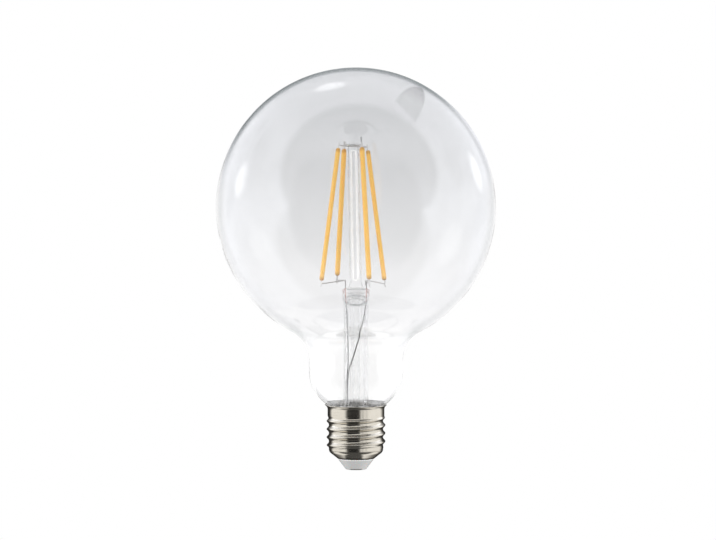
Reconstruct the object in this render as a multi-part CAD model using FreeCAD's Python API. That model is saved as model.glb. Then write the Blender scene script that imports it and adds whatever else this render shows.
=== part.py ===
"""Clear globe lamp: four straight LED filaments on a glass stem, over an Edison screw cap.

Origin: the centre of the cap's contact face. +Z runs along the lamp's axis to the crown of the globe.
-Y is the front. Lengths are in millimetres and angles in degrees.
"""

import FreeCAD
import Part
import math
import os
from FreeCAD import Placement, Rotation, Vector

# Blown glass envelope: the throat and shoulder stand on the cap, then the neck, its fillet and the globe
GLOBE_DIAMETER = 125.0
GLASS_WALL = 0.7
NECK_DIAMETER = 42.0
NECK_STRAIGHT = 5.372
NECK_FILLET_RADIUS = 14.5
SHOULDER_RADIUS = 17.0
SHOULDER_TOP = 43.8
THROAT_DIAMETER = 22.0
THROAT_FILLET_RADIUS = 3.0
THROAT_END = 20.0

# Rolled shell of the screw cap
THREAD_MAJOR_DIAMETER = 26.3
THREAD_MINOR_DIAMETER = 24.26
THREAD_PITCH = 3.629
THREAD_TURNS = 4.2
THREAD_BOTTOM = 9.4
THREAD_CREST_HEIGHT = 20.17
THREAD_CREST_SHARPNESS = 0.3
THREAD_FADE_TURNS = 0.55
THREAD_ROWS_PER_TURN = 8
THREAD_POINTS_PER_RING = 16
SHELL_SHEET = 0.3
COLLAR_DIAMETER = 25.4
RIM_DIAMETER = 27.4
RIM_TOP = 29.0
RIM_FLARE_HEIGHT = 1.8
SHELL_END_HEIGHT = 5.2
SHELL_END_DIAMETER = 16.4
SHELL_END_CONE = 38.0
CEMENT_BOTTOM = 20.5
CEMENT_CLEARANCE = 0.03

# Plastic insulator and the contact riveted through it
INSULATOR_BOTTOM = 0.3
INSULATOR_TIP_DIAMETER = 9.8
INSULATOR_TIP_HEIGHT = 0.75
INSULATOR_SHOULDER = 0.45
INSULATOR_SLEEVE_DIAMETER = 23.2
INSULATOR_SLEEVE_WALL = 1.3
INSULATOR_TOP = 10.4
INSULATOR_FLOOR_TOP = 3.2
INSULATOR_CUP_DIAMETER = 8.8
INSULATOR_CUP_STEP = 9.0
CONTACT_DIAMETER = 3.9
CONTACT_FLAT_DIAMETER = 2.6
CONTACT_HEAD_HEIGHT = 0.9
CONTACT_EDGE_HEIGHT = 0.35
CONTACT_STEM_DIAMETER = 2.0
CONTACT_FLANGE_DIAMETER = 3.2
CONTACT_FLANGE_HEIGHT = 0.4

# Glass stem: flared tube, press, exhaust tube and hollow post
FLARE_TUBE_DIAMETER = 11.0
FLARE_TUBE_WALL = 0.9
FLARE_START = 34.5
FLARE_BAND_HEIGHT = 1.0
PRESS_BOTTOM = 74.3
PRESS_HEIGHT = 7.0
PRESS_WIDTH = 12.2
PRESS_WAIST_RISE = 3.2
PRESS_WAIST_DEPTH = 10.8
PRESS_TOP_DEPTH = 6.8
PRESS_EDGE_HEIGHT = 0.7
PRESS_EDGE_INSET = 0.5
PRESS_SQUARENESS = 3.4
PRESS_RING_POINTS = 24
CAVITY_HEIGHT = 4.0
CAVITY_WALL_HEIGHT = 2.8
CAVITY_TAPER = 0.25
EXHAUST_DIAMETER = 3.8
EXHAUST_BORE = 2.4
EXHAUST_TIP = 14.8
EXHAUST_NOSE = 2.6
BLOW_HOLE_DIAMETER = 1.6
BLOW_HOLE_RISE = 0.9
BEAD_WIDTH = 7.5
BEAD_DEPTH = 5.6
BEAD_HEIGHT = 3.4
POST_DIAMETER = 5.5
POST_BORE = 2.3
POST_ABOVE_FILAMENTS = 3.0
POST_CAP_HEIGHT = 2.9
POST_CROWN_RADIUS = 1.3
POST_FOOT_X = -0.1
POST_TOP_X = -1.25

# Filaments and the metal tabs at their ends. Azimuths run from +X towards +Y.
FILAMENT_LENGTH = 58.0
FILAMENT_WIDTH = 2.2
FILAMENT_THICKNESS = 1.9
FILAMENT_EDGE_RADIUS = 0.75
FILAMENT_TOP_RADIUS = 7.77
FILAMENT_FOOT_RADIUS = 15.7
FILAMENT_TOP_AZIMUTH = 31.0
FILAMENT_FOOT_AZIMUTH = 27.0
FILAMENT_RING_X = -1.3
FILAMENT_RISES = (0.6, 0.8, 1.0, -0.4)
FILAMENT_QUARTERS = (180.0, 90.0, -90.0, 0.0)
TAB_WIDTH = 0.9
TAB_THICKNESS = 0.2
TAB_SEAT = 3.0
TAB_REACH = 3.4

# Wires
LEAD_DIAMETER = 0.5
SUPPORT_DIAMETER = 0.5
LEAD_SPACING_X = 9.4
LEAD_ELBOW_RISE = 3.7
LEAD_ENTRY_SHARE = 0.966
BRANCH_DROP = 2.2
WELD_CLEARANCE = 0.02
WELD_BITE = 0.08
SUPPORT_RISES = (1.4, 2.1)
SUPPORT_ARCH = 0.35
SUPPORT_UPTURN = 3.6
BEND_SHARE = 0.45
SHARP_TURN = 45.0
ELBOW_RADIUS = 0.8

# Way of each lead down the tube: shares of the clear radius, azimuths, and shares of the way up to the press
LEAD_SWAY_LEFT = ((0.862, 178.5, 0.810), (0.796, 175.0, 0.626), (0.831, 174.4, 0.488), (0.932, 177.2, 0.341),
                  (0.920, 167.0, 0.184))
LEAD_SWAY_RIGHT = ((0.853, -14.0, 0.899), (0.810, -55.4, 0.792), (0.764, -83.1, 0.678), (0.756, -109.5, 0.575),
                   (0.874, -144.6, 0.468), (0.938, -162.9, 0.331), (0.931, -159.8, 0.184))

# Driver on a round board in the cap
BOARD_DIAMETER = 22.4
BOARD_THICKNESS = 1.0
BRIDGE_SIZE = (4.7, 3.9, 1.5)
BRIDGE_PLACE = (-5.4, 0.6)
CHIP_SIZE = (4.9, 3.9, 1.45)
CHIP_PLACE = (5.2, 2.4)
CHIP_PINS = 4
PIN_SIZE = (0.4, 1.0, 0.2)
PIN_PITCH = 1.27
CHIP_RESISTOR_SIZE = (3.2, 1.6, 0.6)
CHIP_RESISTOR_PLACES = ((4.4, -2.6), (0.6, -5.0))
CAPACITOR_DIAMETER = 6.3
CAPACITOR_HEIGHT = 5.4
CAPACITOR_PLACE = (6.0, 1.0)
CAPACITOR_EDGE = 0.5
CAPACITOR_GROOVE_HEIGHT = 0.9
CAPACITOR_GROOVE_DEPTH = 0.25
RESISTOR_DIAMETER = 2.4
RESISTOR_LENGTH = 4.4
RESISTOR_WAIST = 0.2
RESISTOR_LEAD_DIAMETER = 0.5
PAD_LEFT = (-5.6, 3.0)
PAD_RIGHT = (-5.8, -2.8)
PAD_SHELL_RADIUS = 9.6
SHELL_WIRE_AZIMUTH = 90.0
SHELL_WIRE_DIAMETER = 0.6

# Heights that follow from the sizes above
PRESS_TOP = PRESS_BOTTOM + PRESS_HEIGHT
LEAD_ELBOW_HEIGHT = PRESS_TOP + LEAD_ELBOW_RISE
FILAMENT_CROWN = LEAD_ELBOW_HEIGHT + FILAMENT_LENGTH
POST_TOP = FILAMENT_CROWN + POST_ABOVE_FILAMENTS

AXIS = Vector(0, 0, 1)
CENTRE = Vector(0, 0, 0)


def polar(radius, azimuth, height=0.0):
    """Point at a radius and azimuth about the lamp's axis."""
    angle = math.radians(azimuth)
    return Vector(radius * math.cos(angle), radius * math.sin(angle), height)


def section(radius, height):
    """Point of a revolved outline, which is drawn in the XZ plane."""
    return Vector(radius, 0, height)


def arc_about(centre, radius, start, end):
    """Arc in the XZ plane about a centre, the short way round from the start angle to the end angle."""
    angles = [math.radians(a) for a in (start, (start + end) / 2, end)]
    points = [centre + Vector(radius * math.cos(a), 0, radius * math.sin(a)) for a in angles]
    return Part.Arc(*points).toShape()


def outline(items):
    """Closed wire through points and arcs in turn, with a line wherever two of them lie apart."""
    edges = []
    first = None
    last = None
    for item in items:
        if isinstance(item, Vector):
            begin = end = item
        else:
            begin = item.valueAt(item.FirstParameter)
            end = item.valueAt(item.LastParameter)
        if last is not None and last.distanceToPoint(begin) > 1e-6:
            edges.append(Part.makeLine(last, begin))
        if not isinstance(item, Vector):
            edges.append(item)
        first = first or begin
        last = end
    if last.distanceToPoint(first) > 1e-6:
        edges.append(Part.makeLine(last, first))
    return Part.Wire(edges)


def turned(items):
    """Solid of revolution of a closed outline about the lamp's axis."""
    return Part.Face(outline(items)).revolve(CENTRE, AXIS, 360)


def disc(radius, bottom, height, place=(0.0, 0.0)):
    """Upright cylinder."""
    return Part.makeCylinder(radius, height, Vector(place[0], place[1], bottom))


def block(size, place, top):
    """Box centred on a place, hanging below a height."""
    corner = Vector(place[0] - size[0] / 2, place[1] - size[1] / 2, top - size[2])
    return Part.makeBox(size[0], size[1], size[2], corner)


def bent_rod(points, diameter):
    """Round wire along straight runs joined by tangent arcs: wide sways, and tight elbows at sharp turns."""
    edges = []
    start = points[0]
    for before, corner, after in zip(points, points[1:], points[2:]):
        back = before - corner
        onward = after - corner
        half_turn = (math.pi - back.getAngle(onward)) / 2
        radius = BEND_SHARE * min(back.Length, onward.Length) / math.tan(half_turn)
        if 2 * half_turn > math.radians(SHARP_TURN):
            radius = min(radius, ELBOW_RADIUS)
        reach = radius * math.tan(half_turn)
        back.normalize()
        onward.normalize()
        bisector = back + onward
        bisector.normalize()
        middle = corner + bisector * (radius / math.cos(half_turn) - radius)
        enter = corner + back * reach
        leave = corner + onward * reach
        edges.append(Part.makeLine(start, enter))
        edges.append(Part.Arc(enter, middle, leave).toShape())
        start = leave
    edges.append(Part.makeLine(start, points[-1]))
    profile = Part.Wire(Part.makeCircle(diameter / 2, points[0], points[1] - points[0]))
    return Part.Wire(edges).makePipeShell([profile], True, False)


def envelope_outline(inset):
    """Open outline of the glass from the crown to the throat's end, set in from the outer surface."""
    globe = GLOBE_DIAMETER / 2
    neck = NECK_DIAMETER / 2
    fillet_x = neck + NECK_FILLET_RADIUS
    fillet_drop = math.sqrt((globe + NECK_FILLET_RADIUS) ** 2 - fillet_x ** 2)
    fillet_centre = section(fillet_x, SHOULDER_TOP + NECK_STRAIGHT)
    globe_centre = section(0, fillet_centre.z + fillet_drop)
    join = math.degrees(math.atan2(fillet_drop, fillet_x))
    shoulder_centre = section(neck - SHOULDER_RADIUS, SHOULDER_TOP)
    throat_x = THROAT_DIAMETER / 2 + THROAT_FILLET_RADIUS
    throat_run = throat_x - shoulder_centre.x
    throat_drop = math.sqrt((SHOULDER_RADIUS + THROAT_FILLET_RADIUS) ** 2 - throat_run ** 2)
    throat_centre = section(throat_x, SHOULDER_TOP - throat_drop)
    turn = math.degrees(math.atan2(throat_drop, throat_run))
    return [
        arc_about(globe_centre, globe - inset, 90, -join),
        arc_about(fillet_centre, NECK_FILLET_RADIUS + inset, 180 - join, 180),
        arc_about(shoulder_centre, SHOULDER_RADIUS - inset, 0, -turn),
        arc_about(throat_centre, THROAT_FILLET_RADIUS + inset, 180 - turn, 180),
        section(THROAT_DIAMETER / 2 - inset, THROAT_END),
    ]


def glass_globe():
    """Globe, neck, shoulder and throat, blown as one piece with an even wall."""
    outer = envelope_outline(0)
    inner = envelope_outline(GLASS_WALL)
    full = turned(outer + [section(0, THROAT_END)])
    return full.cut(turned(inner + [section(0, THROAT_END)]))


def thread_radius(azimuth, height, inset):
    """Radius of the rolled thread: a wave that climbs one pitch a turn and fades out at both ends."""
    top = THREAD_BOTTOM + THREAD_TURNS * THREAD_PITCH
    fade = THREAD_FADE_TURNS * THREAD_PITCH
    rise = min(max((height - THREAD_BOTTOM) / fade, 0), 1)
    fall = min(max((top - height) / fade, 0), 1)
    ramp = (3 * rise ** 2 - 2 * rise ** 3) * (3 * fall ** 2 - 2 * fall ** 3)
    end = THREAD_MINOR_DIAMETER / 2 if rise < 1 else COLLAR_DIAMETER / 2
    mean = (THREAD_MAJOR_DIAMETER + THREAD_MINOR_DIAMETER) / 4
    depth = (THREAD_MAJOR_DIAMETER - THREAD_MINOR_DIAMETER) / 4
    phase = 2 * math.pi * (height - THREAD_CREST_HEIGHT) / THREAD_PITCH - math.radians(azimuth)
    wave = math.cos(phase) - THREAD_CREST_SHARPNESS * math.sin(phase) ** 2
    return end + ramp * (mean - end + depth * wave) - inset


def thread_core(inset):
    """Solid inside the thread's surface, built up through rings a fraction of a pitch apart."""
    rows = round(THREAD_TURNS * THREAD_ROWS_PER_TURN)
    step = 360 / THREAD_POINTS_PER_RING
    rings = []
    for row in range(rows + 1):
        height = THREAD_BOTTOM + THREAD_TURNS * THREAD_PITCH * row / rows
        if row in (0, rows):
            radius = thread_radius(0, height, inset)
            rings.append(Part.Wire(Part.makeCircle(radius, Vector(0, 0, height))))
            continue
        azimuths = [step * i for i in range(THREAD_POINTS_PER_RING)]
        curve = Part.BSplineCurve()
        curve.interpolate([polar(thread_radius(a, height, inset), a, height) for a in azimuths], True)
        rings.append(Part.Wire(curve.toShape()))
    return Part.makeLoft(rings, True, True)


def shell_end_outline(inset):
    """Open outline of the shell's closed-in end, from the thread's foot to the opening."""
    cone = math.radians(SHELL_END_CONE)
    minor = THREAD_MINOR_DIAMETER / 2
    opening = SHELL_END_DIAMETER / 2
    corner_height = SHELL_END_HEIGHT + (minor - opening) * math.tan(cone)
    radius = (THREAD_BOTTOM - corner_height) / math.tan((math.pi / 2 - cone) / 2)
    bend_centre = section(minor - radius, THREAD_BOTTOM)
    edge = section(opening - inset * math.sin(cone), SHELL_END_HEIGHT + inset * math.cos(cone))
    return [arc_about(bend_centre, radius - inset, 0, SHELL_END_CONE - 90), edge]


def rim_outline(inset):
    """Open outline of the collar and its flared rim, from the thread's top to the lip."""
    collar = COLLAR_DIAMETER / 2
    spread = RIM_DIAMETER / 2 - collar
    radius = (spread ** 2 + RIM_FLARE_HEIGHT ** 2) / (2 * spread)
    flare_centre = section(collar + radius, RIM_TOP - RIM_FLARE_HEIGHT)
    opening = math.degrees(math.asin(RIM_FLARE_HEIGHT / radius))
    foot = section(collar - inset, THREAD_BOTTOM + THREAD_TURNS * THREAD_PITCH)
    return [foot, arc_about(flare_centre, radius + inset, 180, 180 - opening)]


def back_along(items):
    """The same outline walked the other way."""
    turned_round = []
    for item in reversed(items):
        if isinstance(item, Vector):
            turned_round.append(item)
            continue
        middle = (item.FirstParameter + item.LastParameter) / 2
        parameters = (item.LastParameter, middle, item.FirstParameter)
        turned_round.append(Part.Arc(*[item.valueAt(p) for p in parameters]).toShape())
    return turned_round


def cap_shell():
    """Nickelled sheet: flared rim, collar, rolled thread and closed-in end, one drawn piece."""
    end = turned(shell_end_outline(0) + back_along(shell_end_outline(SHELL_SHEET)))
    rim = turned(rim_outline(0) + back_along(rim_outline(SHELL_SHEET)))
    thread = thread_core(0).cut(thread_core(SHELL_SHEET))
    return thread.fuse([end, rim])


def cap_cement():
    """Ring of cement between the cap and the glass, filling the rim and squeezed up against the shoulder."""
    throat_fillet = envelope_outline(0)[3]
    rim = rim_outline(SHELL_SHEET)
    lip = rim[-1].valueAt(rim[-1].LastParameter)
    shoulder_centre = section(NECK_DIAMETER / 2 - SHOULDER_RADIUS, SHOULDER_TOP)
    join = throat_fillet.valueAt(throat_fillet.FirstParameter)
    low = math.degrees(math.acos((join.x - shoulder_centre.x) / SHOULDER_RADIUS))
    high = math.degrees(math.acos((lip.x - shoulder_centre.x) / SHOULDER_RADIUS))
    shelf = THREAD_BOTTOM + THREAD_TURNS * THREAD_PITCH
    valley = THREAD_MINOR_DIAMETER / 2 - SHELL_SHEET - CEMENT_CLEARANCE
    return turned(
        [section(THROAT_DIAMETER / 2, CEMENT_BOTTOM), section(valley, CEMENT_BOTTOM), section(valley, shelf)]
        + rim
        + [arc_about(shoulder_centre, SHOULDER_RADIUS, -high, -low), throat_fillet]
    )


def insulator():
    """Plastic cup: a visible cone under the shell, a seat inside its end and a sleeve for the board."""
    tip = INSULATOR_TIP_DIAMETER / 2
    sleeve = INSULATOR_SLEEVE_DIAMETER / 2
    bore = sleeve - INSULATOR_SLEEVE_WALL
    bend, edge = shell_end_outline(SHELL_SHEET)
    corner = tip - (INSULATOR_TIP_HEIGHT - INSULATOR_BOTTOM)
    return turned(
        [
            section(CONTACT_STEM_DIAMETER / 2, CONTACT_HEAD_HEIGHT),
            section(CONTACT_DIAMETER / 2, CONTACT_HEAD_HEIGHT),
            section(CONTACT_DIAMETER / 2, INSULATOR_BOTTOM),
            section(corner, INSULATOR_BOTTOM),
            section(tip, INSULATOR_TIP_HEIGHT),
            section(edge.x - INSULATOR_SHOULDER / 2, edge.z - 2 * INSULATOR_SHOULDER),
            section(edge.x, edge.z - INSULATOR_SHOULDER),
            edge,
            bend.valueAt(bend.LastParameter),
            section(sleeve, THREAD_BOTTOM - INSULATOR_SHOULDER),
            section(sleeve, INSULATOR_TOP),
            section(bore, INSULATOR_TOP),
            section(bore, INSULATOR_CUP_STEP),
            section(INSULATOR_CUP_DIAMETER / 2, INSULATOR_FLOOR_TOP),
            section(CONTACT_STEM_DIAMETER / 2, INSULATOR_FLOOR_TOP),
        ]
    )


def centre_contact():
    """Rivet with a domed head under the insulator and a flange turned over above its floor."""
    flange_top = INSULATOR_FLOOR_TOP + CONTACT_FLANGE_HEIGHT
    stem = CONTACT_STEM_DIAMETER / 2
    return turned(
        [
            section(0, 0),
            section(CONTACT_FLAT_DIAMETER / 2, 0),
            section(CONTACT_DIAMETER / 2, CONTACT_EDGE_HEIGHT),
            section(CONTACT_DIAMETER / 2, CONTACT_HEAD_HEIGHT),
            section(stem, CONTACT_HEAD_HEIGHT),
            section(stem, INSULATOR_FLOOR_TOP),
            section(CONTACT_FLANGE_DIAMETER / 2, INSULATOR_FLOOR_TOP),
            section(CONTACT_FLANGE_DIAMETER / 2, flange_top),
            section(0, flange_top),
        ]
    )


def oval(width, depth, height, x=0.0):
    """Elliptical ring for a lofted glass form, longer along X."""
    centre = Vector(x, 0, height)
    if width - depth < 1e-6:
        return Part.Wire(Part.makeCircle(width / 2, centre))
    curve = Part.Ellipse(centre, width / 2, depth / 2)
    return Part.Wire(curve.toShape())


def pressed_ring(width, depth, height, squareness):
    """Ring between an ellipse (squareness 2) and a rounded oblong, longer along X."""
    points = []
    for step in range(PRESS_RING_POINTS):
        angle = 2 * math.pi * step / PRESS_RING_POINTS
        x = math.copysign(abs(math.cos(angle)) ** (2 / squareness), math.cos(angle)) * width / 2
        y = math.copysign(abs(math.sin(angle)) ** (2 / squareness), math.sin(angle)) * depth / 2
        points.append(Vector(x, y, height))
    curve = Part.BSplineCurve()
    curve.interpolate(points, True)
    return Part.Wire(curve.toShape())


def flare_stem(wires):
    """Flared glass tube, pinched at its top into the press that holds the lead wires."""
    outer = FLARE_TUBE_DIAMETER / 2
    inner = outer - FLARE_TUBE_WALL
    throat = THROAT_DIAMETER / 2 - GLASS_WALL
    drop = FLARE_START - THROAT_END - FLARE_BAND_HEIGHT
    spread = throat - outer
    radius = (spread ** 2 + drop ** 2) / (2 * spread)
    centre = section(outer + radius, FLARE_START)
    opening = math.degrees(math.asin(drop / radius))
    skin = [
        section(outer, PRESS_BOTTOM),
        arc_about(centre, radius, 180, 180 + opening),
        section(throat, THROAT_END),
        section(throat - FLARE_TUBE_WALL, THROAT_END),
        arc_about(centre, radius + FLARE_TUBE_WALL, 180 + opening, 180),
        section(inner, PRESS_BOTTOM),
    ]
    tube = turned(skin)
    waist_squareness = (2 + PRESS_SQUARENESS) / 2
    inset = 2 * PRESS_EDGE_INSET
    rings = [
        oval(FLARE_TUBE_DIAMETER, FLARE_TUBE_DIAMETER, PRESS_BOTTOM),
        pressed_ring(PRESS_WIDTH, PRESS_WAIST_DEPTH, PRESS_BOTTOM + PRESS_WAIST_RISE, waist_squareness),
        pressed_ring(PRESS_WIDTH, PRESS_TOP_DEPTH, PRESS_TOP - PRESS_EDGE_HEIGHT, PRESS_SQUARENESS),
        pressed_ring(PRESS_WIDTH - inset, PRESS_TOP_DEPTH - inset, PRESS_TOP, PRESS_SQUARENESS),
    ]
    press = Part.makeLoft(rings, True, False)
    roof = PRESS_BOTTOM + CAVITY_HEIGHT
    seat = EXHAUST_DIAMETER / 2
    wall_top = section(inner - CAVITY_TAPER, PRESS_BOTTOM + CAVITY_WALL_HEIGHT)
    vault = (roof - wall_top.z) * math.sin(math.pi / 4)
    dome = Part.Arc(
        wall_top,
        section(seat + (wall_top.x - seat) * math.cos(math.pi / 4), wall_top.z + vault),
        section(seat, roof),
    ).toShape()
    cavity = turned([section(0, PRESS_BOTTOM), section(inner, PRESS_BOTTOM), dome, section(0, roof)])
    blow_hole = disc(EXHAUST_BORE / 2, roof, BLOW_HOLE_RISE)
    side_hole = Part.makeCylinder(
        BLOW_HOLE_DIAMETER / 2, PRESS_WIDTH / 2, Vector(0, 0, roof + BLOW_HOLE_RISE), Vector(0, 1, 0)
    )
    stem = press.cut(cavity).fuse(tube)
    return stem.cut([blow_hole, side_hole] + wires)


def exhaust_tube():
    """Tube from the press's cavity down to the tip where it was melted shut."""
    outer = EXHAUST_DIAMETER / 2
    inner = EXHAUST_BORE / 2
    top = PRESS_BOTTOM + CAVITY_HEIGHT
    shut = EXHAUST_TIP + EXHAUST_NOSE
    nose = Part.Arc(
        section(0, EXHAUST_TIP), section(outer * 0.7, EXHAUST_TIP + EXHAUST_NOSE * 0.3), section(outer, shut)
    ).toShape()
    return turned([section(0, shut), nose, section(outer, top), section(inner, top), section(inner, shut)])


def leaned(shape):
    """A form built upright about the axis, set on the press and leant as the post leans."""
    foot = PRESS_TOP
    lean = math.degrees(math.atan2(POST_TOP_X - POST_FOOT_X, POST_TOP - foot))
    shape.Placement = Placement(Vector(POST_FOOT_X, 0, foot), Rotation(Vector(0, 1, 0), lean))
    return shape


def stem_post(wires):
    """Hollow glass post on its bead, closed over the two support wires."""
    height = POST_TOP - PRESS_TOP
    radius = POST_DIAMETER / 2
    crown = section(radius - POST_CROWN_RADIUS, height - POST_CROWN_RADIUS)
    rod = turned([section(0, BEAD_HEIGHT / 2), section(radius, BEAD_HEIGHT / 2),
                  arc_about(crown, POST_CROWN_RADIUS, 0, 90), section(0, height)])
    bore = disc(POST_BORE / 2, BEAD_HEIGHT, height - POST_CAP_HEIGHT - BEAD_HEIGHT)
    bead = Part.makeLoft(
        [
            oval(BEAD_WIDTH, BEAD_DEPTH, PRESS_TOP, POST_FOOT_X),
            oval(POST_DIAMETER, POST_DIAMETER, PRESS_TOP + BEAD_HEIGHT, POST_FOOT_X),
        ],
        True,
        False,
    )
    return leaned(rod).fuse(bead).cut([leaned(bore)] + wires)


def filament_ends(index):
    """Axis ends of a filament's coat, and the way its broad face looks."""
    quarter = FILAMENT_QUARTERS[index]
    ring = Vector(FILAMENT_RING_X, 0, LEAD_ELBOW_HEIGHT + FILAMENT_LENGTH / 2 + FILAMENT_RISES[index])
    top = ring + polar(FILAMENT_TOP_RADIUS, quarter + FILAMENT_TOP_AZIMUTH)
    foot = ring + polar(FILAMENT_FOOT_RADIUS, quarter + FILAMENT_FOOT_AZIMUTH)
    run = math.hypot(top.x - foot.x, top.y - foot.y)
    half = math.sqrt(FILAMENT_LENGTH ** 2 - run ** 2) / 2
    top.z += half
    foot.z -= half
    along = (top - foot).normalize()
    outward = polar(1, quarter + FILAMENT_FOOT_AZIMUTH)
    outward = (outward - along * outward.dot(along)).normalize()
    return foot, top, along, outward


def bar(start, along, outward, width, thickness, length, radius=0.0):
    """Flat bar along a direction, its broad face looking outward, with its long edges rounded."""
    side = along.cross(outward)
    half_width = width / 2
    half_depth = thickness / 2
    corners = [(-1, -1), (1, -1), (1, 1), (-1, 1)]
    points = [start + side * (half_width * a) + outward * (half_depth * b) for a, b in corners]
    solid = Part.Face(Part.makePolygon(points + points[:1])).extrude(along * length)
    if radius == 0:
        return solid
    long_edges = [e for e in solid.Edges if abs(e.tangentAt(e.FirstParameter).dot(along)) > 0.999]
    return solid.makeFillet(radius, long_edges)


def filament_pieces(index):
    """Phosphor coat of one filament, and the tabs moulded into its top and foot."""
    foot, top, along, outward = filament_ends(index)
    length = TAB_SEAT + TAB_REACH
    upper = bar(top - along * TAB_SEAT, along, outward, TAB_WIDTH, TAB_THICKNESS, length)
    lower = bar(foot - along * TAB_REACH, along, outward, TAB_WIDTH, TAB_THICKNESS, length)
    coat = bar(foot, along, outward, FILAMENT_WIDTH, FILAMENT_THICKNESS, FILAMENT_LENGTH, FILAMENT_EDGE_RADIUS)
    return coat.cut([upper, lower]), upper, lower


def weld_point(index, at_top, reach):
    """Where a wire butts on a tab's inner face, a little of the tab's reach from its end."""
    foot, top, along, outward = filament_ends(index)
    on_axis = top + along * reach if at_top else foot - along * reach
    return on_axis - outward * (TAB_THICKNESS / 2 - WELD_BITE)


def lead_wire(side, sway, pad, index, tab):
    """Lead from the board, up through the stem and press, to a filament's foot."""
    x = side * LEAD_SPACING_X / 2
    clear = FLARE_TUBE_DIAMETER / 2 - FLARE_TUBE_WALL - LEAD_DIAMETER / 2
    board_top = INSULATOR_TOP + BOARD_THICKNESS
    in_press = Vector(x, 0, PRESS_BOTTOM + CAVITY_HEIGHT / 2)
    below = Vector(side * clear * LEAD_ENTRY_SHARE, 0, PRESS_BOTTOM - CAVITY_HEIGHT / 2)
    end = weld_point(index, False, TAB_REACH * 0.6)
    route = [end, Vector(x, 0, LEAD_ELBOW_HEIGHT), in_press, below]
    for radius_share, azimuth, height_share in sway:
        height = THROAT_END + height_share * (PRESS_BOTTOM - THROAT_END)
        route.append(polar(radius_share * clear, azimuth, height))
    route += [Vector(pad[0], pad[1], THROAT_END), Vector(pad[0], pad[1], board_top)]
    return bent_rod(route, LEAD_DIAMETER).cut(tab)


def lead_branch(side, offset, index, tab):
    """Wire welded alongside a lead above the press, running to the other filament on that side."""
    start = Vector(side * LEAD_SPACING_X / 2, 0, LEAD_ELBOW_HEIGHT) + offset * (LEAD_DIAMETER + WELD_CLEARANCE)
    bottom = Vector(start.x, start.y, LEAD_ELBOW_HEIGHT - BRANCH_DROP)
    end = weld_point(index, False, TAB_REACH * 0.6)
    return bent_rod([end, start, bottom], LEAD_DIAMETER).cut(tab)


def support_wire(level, first, second, tabs, upturned):
    """Wire through the post's top that joins the top tabs of two facing filaments."""
    lean = (POST_TOP_X - POST_FOOT_X) / (POST_TOP - PRESS_TOP)
    middle = Vector(POST_FOOT_X + lean * (level - PRESS_TOP), 0, level)
    start = weld_point(first, True, TAB_REACH * 0.6)
    end = weld_point(second, True, TAB_REACH * 0.6)
    route = [start, middle + Vector(0, 0, SUPPORT_ARCH), end]
    if upturned:
        _, _, along, outward = filament_ends(second)
        corner = end - outward * (SUPPORT_DIAMETER / 2 + WELD_BITE)
        route = [start, middle + Vector(0, 0, SUPPORT_ARCH), corner, corner + along * SUPPORT_UPTURN]
    return bent_rod(route, SUPPORT_DIAMETER).cut(tabs)


def driver_board():
    """Round board that rests on the insulator's sleeve."""
    return disc(BOARD_DIAMETER / 2, INSULATOR_TOP, BOARD_THICKNESS)


def package(size, place, pins):
    """Moulded package under the board, with pins along its two long sides."""
    body = block(size, place, INSULATOR_TOP)
    body = body.makeFillet(min(size) / 8, [e for e in body.Edges if e.CenterOfMass.z < INSULATOR_TOP - size[2] / 2])
    for side in (-1, 1):
        for pin in range(pins):
            x = place[0] + (pin - (pins - 1) / 2) * PIN_PITCH
            y = place[1] + side * (size[1] + PIN_SIZE[1]) / 2
            body = body.fuse(block(PIN_SIZE, (x, y), INSULATOR_TOP))
    return body


def smoothing_capacitor():
    """Round can on the board, with a crimped groove near its foot."""
    radius = CAPACITOR_DIAMETER / 2
    bottom = INSULATOR_TOP + BOARD_THICKNESS
    top = bottom + CAPACITOR_HEIGHT
    groove = bottom + CAPACITOR_GROOVE_HEIGHT
    depth = CAPACITOR_GROOVE_DEPTH
    can = turned(
        [
            section(0, bottom),
            section(radius, bottom),
            arc_about(section(radius, groove), depth, 270, 90),
            arc_about(section(radius - CAPACITOR_EDGE, top - CAPACITOR_EDGE), CAPACITOR_EDGE, 0, 90),
            section(0, top),
        ]
    )
    can.translate(Vector(CAPACITOR_PLACE[0], CAPACITOR_PLACE[1], 0))
    return can


def fusible_resistor():
    """Upright resistor between the contact's rivet and the board, with its lead at each end."""
    low = INSULATOR_FLOOR_TOP + CONTACT_FLANGE_HEIGHT
    middle = (low + INSULATOR_TOP) / 2
    lead = RESISTOR_LEAD_DIAMETER / 2
    radius = RESISTOR_DIAMETER / 2
    half = RESISTOR_LENGTH / 2
    shoulder = half / 3
    return turned(
        [
            section(0, low),
            section(lead, low),
            section(lead, middle - half),
            section(radius - RESISTOR_WAIST, middle - half),
            section(radius, middle - half + RESISTOR_WAIST),
            section(radius, middle - half + shoulder),
            section(radius - RESISTOR_WAIST, middle - shoulder),
            section(radius - RESISTOR_WAIST, middle + shoulder),
            section(radius, middle + half - shoulder),
            section(radius, middle + half - RESISTOR_WAIST),
            section(radius - RESISTOR_WAIST, middle + half),
            section(lead, middle + half),
            section(lead, INSULATOR_TOP),
            section(0, INSULATOR_TOP),
        ]
    )


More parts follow.
